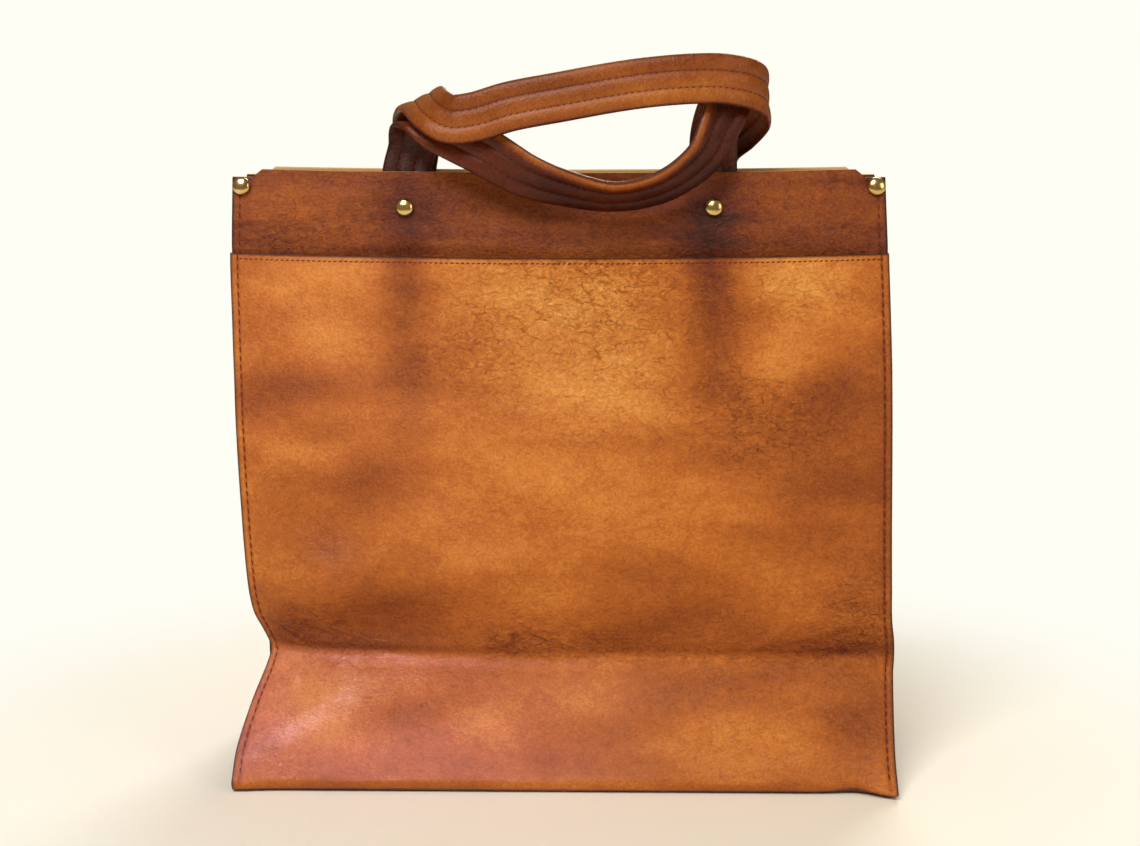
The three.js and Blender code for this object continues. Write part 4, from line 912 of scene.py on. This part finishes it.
# The channels on both faces of each strap
for strap_name, (places, sideways, outwards, thick) in routes.items():
    for channel, channel_name in ((-CHANNEL, "a"), (CHANNEL, "b")):
        for face_sign, face_name in ((1, "in"), (-1, "out")):
            line = places + sideways * (channel * STRAP_WIDTH / 2) \
                + outwards * (face_sign * 0.52 * thick / 2)[:, None]
            spots, runs, facing = along_grid(line[:, None], (outwards * face_sign)[:, None], 0, 3.6, 20,
                                             len(line) - 20)
            thread_row(f"{strap_name}_stitches_{face_name}_{channel_name}", spots + facing * 0.1, runs,
                       facing, length=3.0, thick=1.0, slant=32)

# Cap rivets. Domed brass caps 10 mm wide, polished, pressed on a post through panel and strap, or
# through panel and side wall at the top corners; a smaller flat cap closes each inside.
CAP_RADIUS, CAP_HEIGHT, CAP_RIM, CAP_GAP = 5.0, 2.6, 0.5, 0.5
INNER_RADIUS, INNER_HEIGHT, INNER_GAP, POST_RADIUS, POST_SPARE = 4.2, 1.3, 0.3, 1.8, 1.2
HANDLE_RIVET_DROP, CORNER_RIVET_INSET = 20.0, 5.0
# The cap's dome by insets: share of the radius, share of the climb from the rim to the crown
DOME_STEPS = [(0.06, 0.30), (0.10, 0.26), (0.14, 0.20), (0.18, 0.10), (0.18, 0.10), (0.16, 0.04)]

# Polished brass, lightly lacquered: warm mirror-like highlights, faint scratches, dark under the rim
brass, brass_place = empty_material("polished_brass")
scratch = add_node(brass, "TexNoise", {"Scale": 900.0, "Detail": 3.0}, {"Vector": brass_place})
brass_rough = add_node(brass, "Math", {"operation": "MULTIPLY_ADD", 1: 0.16, 2: 0.10}, {0: scratch})
tarnish = add_node(brass, "TexNoise", {"Scale": 260.0, "Detail": 2.0}, {"Vector": brass_place})
brass_colour = add_node(brass, "MixRGB", {"Color1": linear("#f0d79a"), "Color2": linear("#b08a3e")},
                        {"Fac": tarnish})
brass_shader = add_node(brass, "BsdfPrincipled", {"Metallic": 1.0},
                        {"Base Color": brass_colour, "Roughness": brass_rough})
add_node(brass, "OutputMaterial", links={"Surface": brass_shader})


def turned_part(radius, depth, height, sides):
    """A short cylinder about the z axis, in mm, with its middle at a height."""
    bpy.ops.object.select_all(action="DESELECT")
    bpy.ops.mesh.primitive_cylinder_add(vertices=sides, radius=radius / 1000, depth=depth / 1000,
                                        location=(0, 0, height / 1000))
    bpy.ops.object.transform_apply(location=True, rotation=True, scale=True)
    return bpy.context.object


def cap(radius, rise, z, way):
    """A domed cap with a rolled rim, facing up or down, from a disc by insets that climb to the crown."""
    piece = turned_part(radius, CAP_RIM, z + CAP_RIM / 2 * way, 36)
    bpy.ops.object.mode_set(mode="EDIT")
    bpy.ops.mesh.select_mode(type="FACE")
    bpy.ops.mesh.select_all(action="DESELECT")
    bpy.ops.object.mode_set(mode="OBJECT")
    for polygon in piece.data.polygons:
        polygon.select = polygon.normal.z * way > 0.9
    bpy.ops.object.mode_set(mode="EDIT")
    for inset, climb in DOME_STEPS:
        bpy.ops.mesh.inset(thickness=inset * radius / 1000, depth=climb * (rise - CAP_RIM) / 1000)
    bpy.ops.object.mode_set(mode="OBJECT")
    return piece


def rivet(name, facing, across, height, grip):
    """A rivet at a place of the front or back, through layers that are grip mm thick together."""
    outer_cap = cap(CAP_RADIUS, CAP_HEIGHT, CAP_GAP, 1)
    inner_cap = cap(INNER_RADIUS, INNER_HEIGHT, -grip - INNER_GAP, -1)
    post = turned_part(POST_RADIUS, grip + POST_SPARE, (CAP_GAP - grip) / 2, 20)
    for part in (outer_cap, inner_cap, post):
        part.select_set(True)
    bpy.context.view_layer.objects.active = outer_cap
    bpy.ops.object.join()
    place, normal = face_frame(facing, across, height)
    lean = Vector((0, 0, 1)).rotation_difference(Vector(normal)).to_matrix().to_4x4()
    outer_cap.data.transform(Matrix.Translation(Vector((place + BAG_SHIFT) / 1000)) @ lean)
    outer_cap.name = name
    outer_cap.data.name = name
    turn_outwards(outer_cap)
    bpy.ops.object.shade_smooth_by_angle(angle=math.radians(40))
    outer_cap.data.materials.append(brass)
    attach(outer_cap, "root")
    return outer_cap


for facing, face_name in ((-1, "front"), (1, "back")):
    for side, side_name in ((-1, "left"), (1, "right")):
        handle_rivet = rivet(f"handle_cap_{face_name}_{side_name}", facing,
                             side * HANDLE_SPACING / 2 / HALF, BAG_HEIGHT - HANDLE_RIVET_DROP,
                             PANEL_LEATHER + SEAM_GAP + STRAP_END_THICK)
        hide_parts(f"handle_rivet_{face_name}_{side_name}")
        corner_rivet = rivet(f"corner_cap_{face_name}_{side_name}", facing,
                             side * (1 - CORNER_RIVET_INSET / HALF),
                             BAG_HEIGHT - CORNER_DROP - CORNER_RIVET_INSET, BACK_STACK)
        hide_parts(f"corner_rivet_{face_name}_{side_name}")

# Stage. A plain pale floor that fades into a pale backdrop, soft studio light from the front and above,
# a faint cool window from the left, and a camera where the photographer stood.
BACKDROP, FADE_FROM, FADE_TO = "#fffef4", 0.17, 0.52
bpy.ops.object.select_all(action="DESELECT")
bpy.ops.mesh.primitive_plane_add(size=14, location=(0, 0, 0))
floor = bpy.context.object
floor.name = "pale_floor"
# Matt paper. Away from the bag, as the camera sees it, it fades into the backdrop, so no horizon shows
floor_paint, floor_place = empty_material("pale_paper")
paper = add_node(floor_paint, "BsdfPrincipled", {"Base Color": linear("#fbf9f0"), "Roughness": 0.9})
distance = add_node(floor_paint, "VectorMath", {"operation": "LENGTH"}, {0: floor_place})
fade = add_node(floor_paint, "MapRange", {
    "interpolation_type": "SMOOTHSTEP", "From Min": FADE_FROM, "From Max": FADE_TO},
    {"Value": distance.outputs["Value"]})
seen = add_node(floor_paint, "LightPath").outputs["Is Camera Ray"]
faded = add_node(floor_paint, "Math", {"operation": "MULTIPLY"}, {0: fade, 1: seen})
haze = add_node(floor_paint, "Emission", {"Color": linear(BACKDROP)})
blend = add_node(floor_paint, "MixShader", links={0: faded, 1: paper, 2: haze})
add_node(floor_paint, "OutputMaterial", links={"Surface": blend})
floor.data.materials.append(floor_paint)

# The studio's walls: a pale backdrop as the camera sees it, and dimmer walls as a source of light
world = bpy.data.worlds.new("pale_studio")
bpy.context.scene.world = world
world.use_nodes = True
world.node_tree.nodes.clear()
backdrop = add_node(world, "Background", {"Color": linear(BACKDROP), "Strength": 1.0})
walls = add_node(world, "Background", {"Color": linear("#ffe8c2"), "Strength": 0.25})
seen = add_node(world, "LightPath").outputs["Is Camera Ray"]
chosen = add_node(world, "MixShader", links={0: seen, 1: walls, 2: backdrop})
add_node(world, "OutputWorld", links={"Surface": chosen})


def soft_light(name, place, target, size, power, colour):
    """A soft box in metres and watts, turned to its target."""
    data = bpy.data.lights.new(name, "AREA")
    data.shape = "RECTANGLE"
    data.size, data.size_y = size
    data.energy = power
    data.color = linear(colour)[:3]
    lamp = bpy.data.objects.new(name, data)
    lamp.location = place
    lamp.rotation_euler = (Vector(target) - Vector(place)).to_track_quat("-Z", "Y").to_euler()
    bpy.context.scene.collection.objects.link(lamp)
    return lamp


soft_light("key_softbox", (-0.6, -1.7, 2.0), (0, 0, 0.2), (1.0, 1.0), 47, "#fffaf0")
soft_light("fill_softbox", (1.5, -1.3, 0.9), (0, 0, 0.2), (0.9, 0.9), 7, "#fff6ea")
# The cool window only glances off the wax of the base's left part, where the leather tilts up to it
cool_window = soft_light("cool_window", (-0.42, -0.70, 1.08), (-0.14, -0.05, 0.04), (0.26, 0.26), 0.42,
                         "#c8b6ff")
cool_window.visible_diffuse = False
cool_window.data.spread = math.radians(13)
soft_light("back_softbox", (0.5, 1.8, 1.6), (0, 0, 0.2), (1.0, 1.0), 30, "#fffaf2")

# The camera, fitted to the photo's corners: a focal length of 1956 of the photo's 1140 pixels of width
SENSOR, DOWN, ASIDE = 36.0, 8.5, 1.05
camera_data = bpy.data.cameras.new("camera")
camera_data.sensor_width = SENSOR
camera_data.lens = SENSOR * 1956 / 1140
camera = bpy.data.objects.new("camera", camera_data)
camera.location = ((25 + BAG_SHIFT[0]) / 1000, (-1100 + BAG_SHIFT[1]) / 1000, 0.360)
camera.rotation_euler = (math.radians(90 - DOWN), 0, math.radians(ASIDE))
bpy.context.scene.collection.objects.link(camera)
bpy.context.scene.camera = camera
bpy.context.scene.view_settings.view_transform = "Standard"
